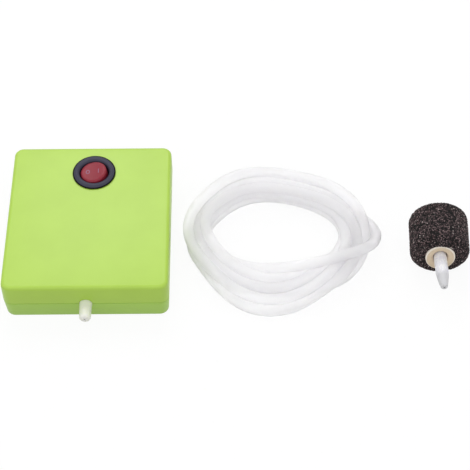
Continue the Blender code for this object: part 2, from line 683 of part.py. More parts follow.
# ---------------------------------------------------------------- switch
def make_switch():
    """A round panel rocker: flanged barrel, rocker on its pins, and two blade terminals."""
    bezel_top = HEIGHT + BEZEL_HEIGHT
    seat = HEIGHT + GAP
    rim = BEZEL_HEIGHT / 2
    profile = [(0, bezel_top)]
    profile += arc((BEZEL_RADIUS - rim, bezel_top - rim), rim, 90, 0, 4)
    profile += [(BEZEL_RADIUS, seat), (BARREL_RADIUS, seat), (BARREL_RADIUS, barrel_bottom),
                (0, barrel_bottom)]
    body = turned("switch_body", [(radius, z - pivot_z) for radius, z in profile],
                  (switch_x, switch_y, pivot_z), "+Z", black_plastic, sides=36)
    opening = round_bar((0, 0, barrel_bottom + BARREL_FLOOR), (0, 0, bezel_top + PAST), 1, sides=36)
    opening.transform(Matrix.Translation((switch_x, switch_y, 0))
                      @ Matrix.Diagonal((ROCKER_SWEEP_RADIUS + GAP, ROCKER_PLAN_RADIUS + GAP, 1, 1)))
    cut(body, opening)
    pin_reach = ROCKER_PLAN_RADIUS + PIVOT_PIN_REACH
    cut(body, round_bar((switch_x, switch_y - pin_reach - GAP, pivot_z),
                        (switch_x, switch_y + pin_reach + GAP, pivot_z), PIVOT_PIN_RADIUS + GAP))
    # Snap wedges that hold the barrel under the panel.
    for side in (-1, 1):
        near = switch_x + side * (BARREL_RADIUS - SINK)
        far = switch_x + side * (BARREL_RADIUS + 3 * GAP)
        low_x, high_x = sorted((near, far))
        wedge = block((low_x, switch_y - WALL, ceiling - GAP - 2 * WALL),
                      (high_x, switch_y + WALL, ceiling - GAP))
        for vertex in wedge.vertices:
            if vertex.co.z < ceiling - WALL and abs(vertex.co.x - far) < GAP:
                vertex.co.x = switch_x + side * (BARREL_RADIUS - SINK / 2)
        fuse(body, wedge)
    terminal_top = barrel_bottom + BARREL_FLOOR + TERMINAL_INSIDE
    for side, name in ((-1, "left"), (1, "right")):
        x = switch_x + side * TERMINAL_SPACING / 2
        half_t = TERMINAL_THICKNESS / 2
        half_w = TERMINAL_WIDTH / 2
        cut(body, block((x - half_t - GAP, switch_y - half_w - GAP, barrel_bottom - PAST),
                        (x + half_t + GAP, switch_y + half_w + GAP,
                         barrel_bottom + BARREL_FLOOR + PAST)))
        add_part("switch_terminal_" + name,
                 block((x - half_t, switch_y - half_w, barrel_bottom - TERMINAL_LENGTH),
                       (x + half_t, switch_y + half_w, terminal_top)), brass)

    # The rocker turns about its pins; its ends are arcs about the same axis.
    rocker = add_part("switch_rocker",
                      round_bar((switch_x, switch_y - ROCKER_PLAN_RADIUS, pivot_z),
                                (switch_x, switch_y + ROCKER_PLAN_RADIUS, pivot_z),
                                ROCKER_SWEEP_RADIUS, sides=64), red_plastic)
    tools = [keep_inside(rocker, round_bar((switch_x, switch_y, pivot_z - ROCKER_SKIRT),
                                           (switch_x, switch_y, pivot_z + 2 * ROCKER_RISE),
                                           ROCKER_PLAN_RADIUS, sides=48))]
    crest = math.sqrt(ROCKER_SWEEP_RADIUS ** 2 - ROCKER_RISE ** 2)
    dish_radius = (crest ** 2 + ROCKER_DISH ** 2) / (2 * ROCKER_DISH)
    dish_z = pivot_z + ROCKER_RISE - ROCKER_DISH + dish_radius
    tools.append(cut(rocker, round_bar((switch_x, switch_y - 2 * ROCKER_PLAN_RADIUS, dish_z),
                                       (switch_x, switch_y + 2 * ROCKER_PLAN_RADIUS, dish_z),
                                       dish_radius, sides=96)))
    tools.append(fuse(rocker, round_bar((switch_x, switch_y - pin_reach, pivot_z),
                                        (switch_x, switch_y + pin_reach, pivot_z),
                                        PIVOT_PIN_RADIUS, sides=16)))
    hinge = pivot("rocker_pivot", (switch_x, switch_y, pivot_z))
    carry(hinge, [rocker] + tools)
    # At rest the left side is pressed down.
    hinge.rotation_euler = (0, -ROCKER_TILT, 0)


# ---------------------------------------------------------------- batteries
def make_cell(name, x, button_y, aim):
    """One AA cell with its button at button_y, pointing along aim."""
    edge = 0.5 * MM
    body = CELL_LENGTH - BUTTON_LENGTH
    profile = [(0, 0), (BUTTON_RADIUS - edge / 2, 0), (BUTTON_RADIUS, -edge / 2),
               (BUTTON_RADIUS, -BUTTON_LENGTH), (CELL_RADIUS - edge, -BUTTON_LENGTH),
               (CELL_RADIUS, -BUTTON_LENGTH - edge), (CELL_RADIUS, edge - CELL_LENGTH),
               (CELL_RADIUS - edge, -BUTTON_LENGTH - body), (0, -BUTTON_LENGTH - body)]
    return turned(name, profile, (x, button_y, cell_z), aim, cell_wrap, sides=24)


def make_spring(name, x, plate_y, side):
    """A conical contact spring, wide at its plate; side is the way it points."""
    run = SPRING_LENGTH - 2 * SPRING_WIRE_RADIUS
    per_turn = 8
    points = []
    for i in range(SPRING_TURNS * per_turn + 1):
        share = i / (SPRING_TURNS * per_turn)
        radius = SPRING_WIDE_RADIUS + (SPRING_NARROW_RADIUS - SPRING_WIDE_RADIUS) * share
        angle = 2 * math.pi * i / per_turn
        points.append((x + radius * math.cos(angle),
                       plate_y + side * (SPRING_WIRE_RADIUS + run * share),
                       cell_z + radius * math.sin(angle)))
    return wire(name, points, SPRING_WIRE_RADIUS, steel)


def make_contact(name, left_x, right_x, low_y, tab_x=None):
    """A contact plate, with a solder tab on top where it has a lead."""
    plate = add_part(name, block((left_x - CONTACT_HALF, low_y, cell_z - CONTACT_HALF),
                                 (right_x + CONTACT_HALF, low_y + CONTACT_THICKNESS,
                                  cell_z + CONTACT_HALF)), steel)
    if tab_x is not None:
        half = CONTACT_TAB_WIDTH / 2
        fuse(plate, block((tab_x - half, low_y, cell_z), (tab_x + half, low_y + CONTACT_THICKNESS,
                                                         cell_z + CONTACT_HALF + CONTACT_TAB_LENGTH)))
    return plate


def make_battery_bay():
    """Two cells side by side, head to tail, between sprung contacts."""
    front_plate_y = bay_front_y + GAP
    back_plate_y = bay_back_y - GAP - CONTACT_THICKNESS
    front_face = front_plate_y + CONTACT_THICKNESS
    make_cell("battery_cell_left", cell_left_x, front_face + GAP, "-Y")
    make_cell("battery_cell_right", cell_right_x, back_plate_y - GAP, "+Y")
    make_contact("contact_bridge", cell_left_x, cell_right_x, front_plate_y)
    make_contact("contact_negative", cell_left_x, cell_left_x, back_plate_y, cell_left_x)
    make_contact("contact_positive", cell_right_x, cell_right_x, back_plate_y, cell_right_x)
    make_spring("contact_spring_front", cell_right_x, front_face + GAP, 1)
    make_spring("contact_spring_back", cell_left_x, back_plate_y - GAP, -1)


# ---------------------------------------------------------------- motor and crank
def flattened(mesh_maker, piece, half_height, low_y, high_y):
    """Take the motor's two flats off a round piece."""
    for side in (-1, 1):
        near = axis_height + side * half_height
        low_z, high_z = sorted((near, near + side * MOTOR_RADIUS))
        mesh_maker(piece, block((motor_x - 2 * MOTOR_RADIUS, low_y - PAST, low_z),
                                (motor_x + 2 * MOTOR_RADIUS, high_y + PAST, high_z)))


def make_motor():
    """A small can motor: shell, end cap with tabs, shaft and three-pole armature."""
    shell_back_y = motor_back_y - MOTOR_CAP_THICKNESS
    can = add_part("motor_can", round_bar((motor_x, motor_front_y, axis_height),
                                          (motor_x, shell_back_y, axis_height), MOTOR_RADIUS,
                                          sides=ROUND), steel)
    flattened(cut, can, MOTOR_FLAT_HALF, motor_front_y, shell_back_y)
    inside = bpy.data.objects.new("motor_room", round_bar(
        (motor_x, motor_front_y + MOTOR_SHELL, axis_height), (motor_x, shell_back_y + PAST, axis_height),
        MOTOR_RADIUS - MOTOR_SHELL, sides=ROUND))
    cutters.objects.link(inside)
    inside.hide_render = True
    inside.display_type = "WIRE"
    flattened(cut, inside, MOTOR_FLAT_HALF - MOTOR_SHELL, motor_front_y, motor_back_y)
    hollow = can.modifiers.new("Hollow", "BOOLEAN")
    hollow.operation = "DIFFERENCE"
    hollow.solver = "EXACT"
    hollow.object = inside
    fuse(can, round_bar((motor_x, motor_boss_y, axis_height),
                        (motor_x, motor_front_y + MOTOR_SHELL, axis_height), MOTOR_BOSS_RADIUS))
    cut(can, round_bar((motor_x, motor_boss_y - PAST, axis_height),
                       (motor_x, motor_front_y + WALL, axis_height), SHAFT_RADIUS + GAP))

    cap = add_part("motor_end_cap", round_bar((motor_x, shell_back_y + GAP, axis_height),
                                              (motor_x, motor_back_y, axis_height), MOTOR_RADIUS,
                                              sides=ROUND), black_plastic)
    flattened(cut, cap, MOTOR_FLAT_HALF, motor_front_y, motor_back_y)
    cut(cap, round_bar((motor_x, shell_back_y - PAST, axis_height),
                       (motor_x, motor_back_y + PAST, axis_height), SHAFT_RADIUS + GAP))
    for side, name in ((-1, "left"), (1, "right")):
        x = motor_x + side * MOTOR_TAB_SPACING / 2
        add_part("motor_tab_" + name,
                 block((x - CONTACT_TAB_WIDTH / 2, motor_back_y + GAP,
                        axis_height - CONTACT_THICKNESS / 2),
                       (x + CONTACT_TAB_WIDTH / 2, motor_back_y + GAP + MOTOR_TAB_LENGTH,
                        axis_height + CONTACT_THICKNESS / 2)), brass)

    shaft = add_part("motor_shaft", round_bar((motor_x, wheel_front_y + GAP, axis_height),
                                              (motor_x, motor_back_y - GAP, axis_height),
                                              SHAFT_RADIUS, sides=16), steel)
    middle_y = (motor_front_y + shell_back_y) / 2
    armature_front = middle_y - ARMATURE_LENGTH / 2
    armature_back = middle_y + ARMATURE_LENGTH / 2
    armature = add_part("motor_armature", round_bar((motor_x, armature_front, axis_height),
                                                    (motor_x, armature_back, axis_height),
                                                    ARMATURE_RADIUS, sides=30), steel)
    cut(armature, round_bar((motor_x, armature_front - PAST, axis_height),
                            (motor_x, armature_back + PAST, axis_height), SHAFT_RADIUS + GAP,
                            sides=16))
    for i in range(3):
        slot = block((-ARMATURE_SLOT / 2, armature_front - PAST, ARMATURE_RADIUS / 2),
                     (ARMATURE_SLOT / 2, armature_back + PAST, ARMATURE_RADIUS + PAST))
        slot.transform(Matrix.Translation((motor_x, 0, axis_height))
                       @ Matrix.Rotation(2 * math.pi * i / 3, 4, "Y"))
        cut(armature, slot)

    wheel = add_part("eccentric_wheel", round_bar((motor_x, wheel_front_y, axis_height),
                                                  (motor_x, wheel_back_y, axis_height), WHEEL_RADIUS,
                                                  sides=28), white_plastic)
    fuse(wheel, round_bar((motor_x, head_y - ROD_THICKNESS / 2 - GAP, crank_z),
                          (motor_x, wheel_front_y + SINK, crank_z), CRANK_PIN_RADIUS, sides=16))
    cut(wheel, round_bar((motor_x, wheel_front_y + GAP - GAP / 2, axis_height),
                         (motor_x, wheel_back_y + PAST, axis_height), SHAFT_RADIUS + GAP, sides=16))
    rotor = pivot("motor_axis", (motor_x, head_y, axis_height))
    carry(rotor, [shaft, armature, wheel])


def make_connecting_rod():
    """The rod runs from the crank pin to the diaphragm's boss and keeps level as the crank turns."""
    eye_radius = CRANK_PIN_RADIUS + GAP + ROD_EYE_WALL
    low_y = head_y - ROD_THICKNESS / 2
    high_y = head_y + ROD_THICKNESS / 2
    foot_x = diaphragm_boss_x + CRANK_THROW + OPEN_PIVOT_GAP
    rod = add_part("connecting_rod", round_bar((motor_x, low_y, crank_z), (motor_x, high_y, crank_z),
                                               eye_radius, sides=28), white_plastic)
    fuse(rod, block((foot_x + ROD_FOOT_THICKNESS / 2, low_y, crank_z - ROD_SHANK_HEIGHT / 2),
                    (motor_x, high_y, crank_z + ROD_SHANK_HEIGHT / 2)))
    fuse(rod, round_bar((foot_x, head_y, crank_z), (foot_x + ROD_FOOT_THICKNESS, head_y, crank_z),
                        ROD_FOOT_RADIUS, sides=24))
    cut(rod, round_bar((motor_x, low_y - PAST, crank_z), (motor_x, high_y + PAST, crank_z),
                       CRANK_PIN_RADIUS + GAP, sides=20))
    crank = pivot("crank_pin_axis", (motor_x, head_y, crank_z))
    carry(crank, [rod])


# ---------------------------------------------------------------- pump head
def head_plate(name, left_x, right_x, surface):
    """A plate of the pump head's outline, drilled for its two screws."""
    plate = add_part(name, block((left_x, head_y - HEAD_HALF_WIDTH, axis_height - HEAD_HALF_HEIGHT),
                                 (right_x, head_y + HEAD_HALF_WIDTH,
                                  axis_height + HEAD_HALF_HEIGHT)), surface)
    edges = plate.modifiers.new("Edges", "BEVEL")
    edges.width = min(SINK, (right_x - left_x) / 4)
    edges.segments = 1
    return plate


def head_screw_places():
    """The two screws, on opposite corners of the head."""
    return [("lower", head_y + HEAD_SCREW_Y, axis_height - HEAD_SCREW_Z),
            ("upper", head_y - HEAD_SCREW_Y, axis_height + HEAD_SCREW_Z)]


def make_pump_head():
    """Cover, valve sheet, head, diaphragm and retainer, stacked along X and held by two screws."""
    screw_end_x = cover_right_x - HEAD_SCREW_BITE
    intake_z = axis_height - PORT_RISE
    outlet_z = axis_height + PORT_RISE

    cover = head_plate("head_cover", cover_left_x, cover_right_x, white_plastic)
    fuse(cover, round_bar((0, head_front_y - STUB_LENGTH, axis_height),
                          (0, head_front_y + SINK, axis_height), STUB_RADIUS))
    cut(cover, round_bar((0, head_front_y - STUB_LENGTH - PAST, axis_height),
                         (0, head_y, axis_height), OUTLET_BORE_RADIUS, sides=12))
    cut(cover, block((-OUTLET_BORE_RADIUS, head_y - POCKET_RADIUS, axis_height - OUTLET_BORE_RADIUS),
                     (cover_right_x + PAST, head_y + POCKET_RADIUS, outlet_z + PORT_RADIUS)))
    cut(cover, round_bar((cover_left_x - PAST, head_y, intake_z),
                         (cover_right_x + PAST, head_y, intake_z), PORT_RADIUS, sides=16))

    sheet = head_plate("valve_sheet", sheet_left_x, sheet_right_x, black_rubber)
    for flap_z, way in ((intake_z, 1), (outlet_z, -1)):
        # Each flap is a tongue in the sheet, freed by a slot on three sides.
        for low_y, high_y, low_z, high_z in (
                (-FLAP_HALF, -FLAP_HALF + FLAP_SLOT, -FLAP_HALF, FLAP_HALF),
                (FLAP_HALF - FLAP_SLOT, FLAP_HALF, -FLAP_HALF, FLAP_HALF)):
            cut(sheet, block((sheet_left_x - PAST, head_y + low_y, flap_z + low_z),
                             (sheet_right_x + PAST, head_y + high_y, flap_z + high_z)))
        low_z, high_z = sorted((flap_z + way * FLAP_HALF, flap_z + way * (FLAP_HALF - FLAP_SLOT)))
        cut(sheet, block((sheet_left_x - PAST, head_y - FLAP_HALF, low_z),
                         (sheet_right_x + PAST, head_y + FLAP_HALF, high_z)))

    head = head_plate("pump_head", head_left_x, head_right_x, white_plastic)
    cut(head, round_bar((head_right_x - CHAMBER_DEPTH, head_y, axis_height),
                        (head_right_x + PAST, head_y, axis_height), CHAMBER_RADIUS, sides=ROUND))
    for z in (intake_z, outlet_z):
        cut(head, round_bar((head_left_x - PAST, head_y, z),
                            (head_right_x - CHAMBER_DEPTH / 2, head_y, z), PORT_RADIUS, sides=16))

    retainer = head_plate("diaphragm_retainer", retainer_left_x, retainer_right_x, white_plastic)
    cut(retainer, round_bar((retainer_left_x - PAST, head_y, axis_height),
                            (retainer_right_x + PAST, head_y, axis_height), CHAMBER_RADIUS,
                            sides=ROUND))

    roll = DIAPHRAGM_ROLL_RADIUS
    thick = DIAPHRAGM_THICKNESS
    roll_r = (DIAPHRAGM_BOSS_RADIUS + CHAMBER_RADIUS) / 2
    profile = [(0, DIAPHRAGM_BOSS_LENGTH), (DIAPHRAGM_BOSS_RADIUS - thick / 2, DIAPHRAGM_BOSS_LENGTH),
               (DIAPHRAGM_BOSS_RADIUS, DIAPHRAGM_BOSS_LENGTH - thick / 2),
               (DIAPHRAGM_BOSS_RADIUS, thick), (roll_r - roll, thick)]
    profile += arc((roll_r, thick), roll, 150, 30, 4)
    profile += [(roll_r + roll, thick), (DIAPHRAGM_RADIUS, thick), (DIAPHRAGM_RADIUS, 0),
                (roll_r + roll / 2, 0), (roll_r, roll / 2), (roll_r - roll / 2, 0), (0, 0)]
    turned("diaphragm", profile, (diaphragm_left_x, head_y, axis_height), "+X", black_rubber, sides=24)

    length = retainer_right_x + GAP - screw_end_x
    screw_profile = [(0, HEAD_SCREW_HEAD_HEIGHT), (HEAD_SCREW_HEAD_RADIUS, HEAD_SCREW_HEAD_HEIGHT),
                     (HEAD_SCREW_HEAD_RADIUS, 0), (HEAD_SCREW_RADIUS, 0), (HEAD_SCREW_RADIUS, -length),
                     (0, -length)]
    for name, y, z in head_screw_places():
        turned("head_screw_" + name, screw_profile, (retainer_right_x + GAP, y, z), "+X", zinc_screw,
               sides=12)
        for plate in (cover, sheet, head, retainer):
            cut(plate, round_bar((screw_end_x - GAP, y, z), (retainer_right_x + PAST, y, z),
                                 HEAD_SCREW_RADIUS + GAP, sides=12))


# ---------------------------------------------------------------- outlet and intake
def make_outlet():
    """The nozzle is trapped between the halves by its flange; a short hose joins it to the head."""
    bore = OUTLET_BORE_RADIUS
    tip = NOZZLE_TIP_ROUND
    wall_in = half_depth - WALL
    reach = half_depth + NOZZLE_REACH
    flange_end = -nozzle_flange_y - NOZZLE_FLANGE_THICKNESS
    # Heights run along -Y from the middle of the pump.
    profile = [(bore, reach)]
    profile += arc((NOZZLE_RADIUS - tip, reach - tip), tip, 90, 0, 5)
    profile += [(NOZZLE_RADIUS, reach - 2 * tip), (NOZZLE_RADIUS - NOZZLE_WAIST, reach - 3 * tip),
                (NOZZLE_RADIUS - NOZZLE_WAIST, wall_in - GAP),
                (NOZZLE_FLANGE_RADIUS, wall_in - GAP), (NOZZLE_FLANGE_RADIUS, flange_end),
                (STUB_RADIUS, flange_end), (STUB_RADIUS, -nozzle_barb_y), (bore, -nozzle_barb_y)]
    turned("outlet_nozzle", profile, (0, 0, axis_height), "-Y", cream_plastic, sides=24)

    hose_in = STUB_RADIUS + GAP
    hose_out = hose_in + HOSE_WALL
    near = -head_front_y + GAP
    far = flange_end - GAP
    turned("outlet_hose", [(hose_in, far), (hose_out, far), (hose_out, near), (hose_in, near)],
           (0, 0, axis_height), "-Y", clear_silicone, sides=20)


def make_intake_filter():
    """A felt disc in its cup over the intake holes."""
    return add_part("intake_filter", round_bar((INTAKE_X, intake_y, floor + GAP),
                                               (INTAKE_X, intake_y, floor + GAP + FILTER_THICKNESS),
                                               FILTER_RADIUS, sides=24), filter_felt)


# ---------------------------------------------------------------- leads
def make_leads():
    """Three leads: battery to switch, switch to motor, and motor back to battery."""
    tab_y = bay_back_y - GAP - CONTACT_THICKNESS / 2
    tab_z = cell_z + CONTACT_HALF + CONTACT_TAB_LENGTH + GAP
    blade_z = barrel_bottom - TERMINAL_LENGTH - GAP
    blade_left = switch_x - TERMINAL_SPACING / 2
    blade_right = switch_x + TERMINAL_SPACING / 2
    motor_end_y = motor_back_y + 2 * GAP + MOTOR_TAB_LENGTH
    motor_left = motor_x - MOTOR_TAB_SPACING / 2
    motor_right = motor_x + MOTOR_TAB_SPACING / 2
    low_z = floor + 2 * LEAD_RADIUS
    back_y = half_depth - lip_inner_inset - 3 * LEAD_RADIUS
    spacing = 4 * LEAD_RADIUS
    bay_corner_x = bay_side_x + RIB
    pass_y = bay_back_y + RAIL_THICKNESS + 3 * LEAD_RADIUS
    wire("lead_battery_switch", smooth_route([
        (cell_right_x, tab_y, tab_z), (cell_right_x, tab_y + MM, tab_z + 2 * MM),
        (cell_right_x + 2 * MM, pass_y, tab_z), (cell_right_x + 5 * MM, pass_y, 9 * MM),
        (bay_corner_x + 2 * MM, pass_y, low_z + MM), (blade_left - 1.5 * MM, switch_y, low_z),
        (blade_left, switch_y, blade_z)], spacing), LEAD_RADIUS, red_lead)
    wire("lead_switch_motor", smooth_route([
        (blade_right, switch_y, blade_z), (blade_right + 1.5 * MM, switch_y, low_z),
        (blade_right + 5 * MM, switch_y - MM, low_z), (motor_left - 6 * MM, motor_end_y + 4 * MM, 6 * MM),
        (motor_left - MM, motor_end_y + 3.5 * MM, axis_height - MM),
        (motor_left, motor_end_y, axis_height)], spacing), LEAD_RADIUS, red_lead)
    wire("lead_motor_battery", smooth_route([
        (cell_left_x, tab_y, tab_z), (cell_left_x, tab_y + MM, tab_z + 2 * MM),
        (cell_left_x + 2 * MM, tab_y + 6 * MM, tab_z - MM), (cell_left_x + 6 * MM, back_y - 5 * MM, 8 * MM),
        (cell_left_x + 15 * MM, back_y, low_z + MM), (0, back_y, low_z), (15 * MM, back_y, low_z),
        (motor_right - 3 * MM, back_y - 6 * MM, 6 * MM),
        (motor_right, motor_end_y + 5 * MM, axis_height - MM),
        (motor_right, motor_end_y, axis_height)], spacing), LEAD_RADIUS, black_lead)


# ---------------------------------------------------------------- airline tube and air stone
def make_airline_coil():
    """The outer shape of the coiled airline tube, lying on the rest surface."""
    outer = COIL_OUTER_RADIUS
    inner = outer - COIL_BUNDLE_WIDTH
    top = COIL_BUNDLE_HEIGHT
    edge = COIL_BUNDLE_ROUND
    profile = arc((inner + edge, top - edge), edge, 180, 90, 2)
    profile += arc((outer - edge, top - edge), edge, 90, 0, 2)
    profile += arc((outer - edge, edge), edge, 0, -90, 2)
    profile += arc((inner + edge, edge), edge, -90, -180, 2)
    turned("airline_coil", profile, (COIL_CENTRE_X, COIL_CENTRE_Y, 0), "+Z", clear_silicone, sides=40)


def make_air_stone():
    """The stone lies on its side with its spigot to the front."""
    origin = Vector((STONE_X, STONE_FRONT_Y, STONE_RADIUS))
    edge = STONE_ROUND
    profile = [(0, 0)]
    profile += arc((STONE_RADIUS - edge, -edge), edge, 90, 0, 4)
    profile += arc((STONE_RADIUS - edge, edge - STONE_LENGTH), edge, 0, -90, 4)
    profile += [(0, -STONE_LENGTH)]
    stone = turned("stone_body", profile, origin, "-Y", lava_grit, sides=36,
                   lean=Matrix.Rotation(STONE_TURN, 4, "Z"))
    # The collar's seat is sunk in the stone's face where the collar leans back.
    lean = Matrix.Rotation(COLLAR_TURN, 4, "Z") @ Matrix.Rotation(-COLLAR_RISE, 4, "X")
    outward = lean @ Vector((0, -1, 0))
    cut(stone, round_bar(origin - outward * (COLLAR_HUB_LENGTH + GAP), origin + outward * STONE_ROUND,
                         COLLAR_HUB_RADIUS + GAP))
    cut(stone, round_bar(origin, origin + outward * STONE_ROUND, COLLAR_RADIUS + GAP, sides=ROUND))

    bore = SPIGOT_RADIUS + GAP
    face = GAP + COLLAR_THICKNESS
    edge = COLLAR_THICKNESS / 2 - GAP / 2
    profile = [(bore, face)]
    profile += arc((COLLAR_RADIUS - edge, face - edge), edge, 90, 0, 3)
    profile += [(COLLAR_RADIUS, GAP), (COLLAR_HUB_RADIUS, GAP), (COLLAR_HUB_RADIUS, -COLLAR_HUB_LENGTH),
                (bore, -COLLAR_HUB_LENGTH)]
    turned("stone_collar", profile, origin, "-Y", beige_plastic, lean=lean)

    reach = face + SPIGOT_REACH
    tip = SPIGOT_TIP_RADIUS - SPIGOT_BORE_RADIUS
    profile = [(SPIGOT_BORE_RADIUS, reach)]
    profile += arc((SPIGOT_TIP_RADIUS - tip, reach - tip), tip, 90, 0, 3)
    for share in (0.75, 0.5, 0.25, 0):
        narrowed = (SPIGOT_RADIUS - SPIGOT_TIP_RADIUS) * share ** 1.5
        profile.append((SPIGOT_RADIUS - narrowed, reach - tip - SPIGOT_TAPER * (1 - share)))
    profile += [(SPIGOT_RADIUS, -COLLAR_HUB_LENGTH), (SPIGOT_BORE_RADIUS, -COLLAR_HUB_LENGTH)]
    turned("stone_spigot", profile, origin, "-Y", white_plastic, sides=24, lean=lean)


make_base_housing()
make_top_housing()
make_battery_door()
make_housing_screws()
make_switch()
make_battery_bay()
make_motor()
make_connecting_rod()
make_pump_head()
make_outlet()
make_intake_filter()
make_leads()
make_airline_coil()
make_air_stone()
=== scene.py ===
"""Battery aquarium air pump with its coiled airline tube and air stone, dressed for the camera.

Everything is in metres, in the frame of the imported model: the origin is the middle of the pump's
underside, the outlet points to -Y, and the tube and the stone lie towards +X.
"""

import json
import math

import bmesh
import bpy
import numpy as np
from mathutils import Matrix, Vector, noise


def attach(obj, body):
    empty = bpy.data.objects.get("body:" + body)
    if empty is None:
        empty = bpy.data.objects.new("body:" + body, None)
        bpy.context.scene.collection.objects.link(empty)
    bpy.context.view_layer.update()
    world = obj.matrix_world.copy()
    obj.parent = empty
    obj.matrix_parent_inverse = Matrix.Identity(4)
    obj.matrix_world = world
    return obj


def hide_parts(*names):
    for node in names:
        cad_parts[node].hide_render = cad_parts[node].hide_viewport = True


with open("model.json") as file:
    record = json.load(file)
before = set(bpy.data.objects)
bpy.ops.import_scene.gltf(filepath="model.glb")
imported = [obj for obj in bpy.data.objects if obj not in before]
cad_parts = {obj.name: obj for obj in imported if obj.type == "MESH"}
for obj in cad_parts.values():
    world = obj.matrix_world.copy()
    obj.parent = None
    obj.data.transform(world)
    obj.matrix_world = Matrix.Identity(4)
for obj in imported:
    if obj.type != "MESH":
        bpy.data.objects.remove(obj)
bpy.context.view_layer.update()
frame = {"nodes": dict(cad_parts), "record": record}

MM = 0.001
NODES = frame["nodes"]

# Camera
CAMERA_AIM = (80.97 * MM, 5.05 * MM, 0.0)
CAMERA_DISTANCE = 795 * MM
CAMERA_ELEVATION = math.radians(53.0)
CAMERA_YAW = math.radians(0.2)
CAMERA_ROLL = math.radians(-0.3)
CAMERA_LENS = 106.7                    # mm, on a 36 mm frame

# Airline tube: silicone, 4 mm bore, 6 mm outside, laid in seven turns with its end tucked under
TUBE_RADIUS = 3.0 * MM
TUBE_BORE = 2.0 * MM
TUBE_SIDES = 20
TUBE_BORE_ROWS = 12                    # centreline points that the bore runs in from each end
COIL_CENTRE = (106.3, -1.0)            # mm, as are all lengths of the coil's lay
COIL_TURNS = 7
COIL_START = -38.0                     # degrees
COIL_LEAVES = -55.0                    # degrees, where the last turn becomes the tail
COIL_EASE = 70.0                       # degrees over which it rises to the tail
COIL_TWIST = 137.5                     # degrees that each turn moves round the bundle
COIL_PHASE = -57.3                     # degrees, the first turn's place round the bundle
COIL_CROSSES = 0.10                    # turns before its start at which the strands begin to change places
COIL_CROSSING = 0.32                   # turns that they take
COIL_CORE = 0.45                       # turns, which keeps the first one off the bundle's very middle
# The bundle every 30 degrees from +X: middle radius, width, height
BUNDLE = ((42.2, 17.0, 17.0), (38.3, 12.5, 18.0), (32.7, 18.0, 17.0), (33.4, 25.5, 15.5),
          (38.3, 12.7, 17.0), (40.6, 12.5, 18.0), (47.4, 12.5, 18.0), (40.5, 20.1, 16.5),
          (39.5, 26.3, 16.0), (39.7, 28.3, 16.0), (35.2, 20.8, 16.0), (39.7, 19.0, 16.0))
# The tail: over the bundle, round its outside and back under it
TAIL = ((126, -27.5, 17), (133, -26, 19.5), (141, -24, 20.5), (148.5, -21.5, 19.5), (154.5, -16.5, 16),
        (158.7, -9, 12), (160, -0.7, 8.5), (159, 6.5, 5.5), (155.8, 11.8, 3.8), (150.6, 14.6, 3))
TAIL_POINTS = 80
# How the turns settle
STRANDS_APART = 1.04                   # diameters between the axes of two strands
CONTROLS_APART = 9.0                   # mm between the points that bend the tube
CONTROL_STEPS = 3                      # centreline points from one of them to the next
SAME_STRAND = 26                       # mm along the tube within which two points can't touch
CONTACT_SEARCH = 3                     # mm beyond touching to which contacts are looked for
CONTACT_ROUNDS = 8                     # rounds between two searches
SETTLING = 200                         # rounds in which the turns sink
EASING = 150                           # rounds in which they only make room
SINKING = 0.10                         # mm in a round
TAIL_GIVES = 0.2                       # how readily the tail moves aside, where a turn has 1
OVERSHOOT = 1.1                        # of each push apart
FOLLOWING = 1.5                        # how far the controls follow their points
STIFFNESS = 1 / 64
SPACING = 0.2                          # share of a stretch that is taken back in a round

# Shading of pieces and of the model's own nodes: edges sharper than this stay sharp
PIECE_SHARP = math.radians(40)
NODE_SHARP = math.radians(32)

# Housing, where its halves meet
HALF_WIDTH = 45 * MM
HALF_DEPTH = 49.5 * MM
CORNER_RADIUS = 5 * MM
SEAM_Z = 12 * MM
SEAM_HALF_HEIGHT = 0.13 * MM
SEAM_INSET = 0.22 * MM
SEAM_DEPTH = 1.2 * MM

# Rocker switch
SWITCH_X = 1.5 * MM
SWITCH_Y = 30.3 * MM
SWITCH_SIDES = 72
BEZEL_RADIUS = 12.15 * MM
BEZEL_TOP = 27.38 * MM
BEZEL_SEAT = 26.3 * MM
BEZEL_SHADE_RIM = 0.8 * MM                   # width of the black rim painted round the bezel's edge as shade
BARREL_RADIUS = 9.8 * MM
BARREL_BOTTOM = 13 * MM
BARREL_FLOOR = 14.5 * MM
WELL_HALF_X = 8.3 * MM
WELL_HALF_Y = 7.8 * MM
PIVOT_Z = 24.5 * MM
ROCKER_RADIUS = 7.5 * MM               # in plan
ROCKER_SWEEP = 7.98 * MM               # from the pivot, where its ends pass the well
ROCKER_RISE = 3.4 * MM                 # from the pivot to its crests
ROCKER_DISH = 0.5 * MM
ROCKER_SKIRT = 3.0 * MM
ROCKER_EDGE = 1.5 * MM
ROCKER_TILT = math.radians(-10)        # at rest, with its left end pressed
MARK_OUT = 3.1 * MM
MARK_RADIUS = 1.15 * MM
MARK_STROKE = 0.42 * MM
MARK_TALL = 1.25                       # the O's height for its width
MARK_PROUD = 0.04 * MM
MARK_SUNK = -0.3 * MM

# Outlet
NOZZLE_Z = 12 * MM
NOZZLE_ROOT_RADIUS = 3.42 * MM
NOZZLE_TIP_Y = -60.1 * MM
NOZZLE_RADIUS = 3.2 * MM
NOZZLE_TIP_BORE = 0.35 * MM
NOZZLE_TIP_ROUND = 1.9 * MM
NOZZLE_BORE = 1.0 * MM
NOZZLE_FLANGE_RADIUS = 5.0 * MM        # behind the wall
NOZZLE_TAIL_RADIUS = 2.2 * MM          # in the inner hose
WALL_INSIDE = 47.5 * MM                # from the pump's middle to the front wall's inner face

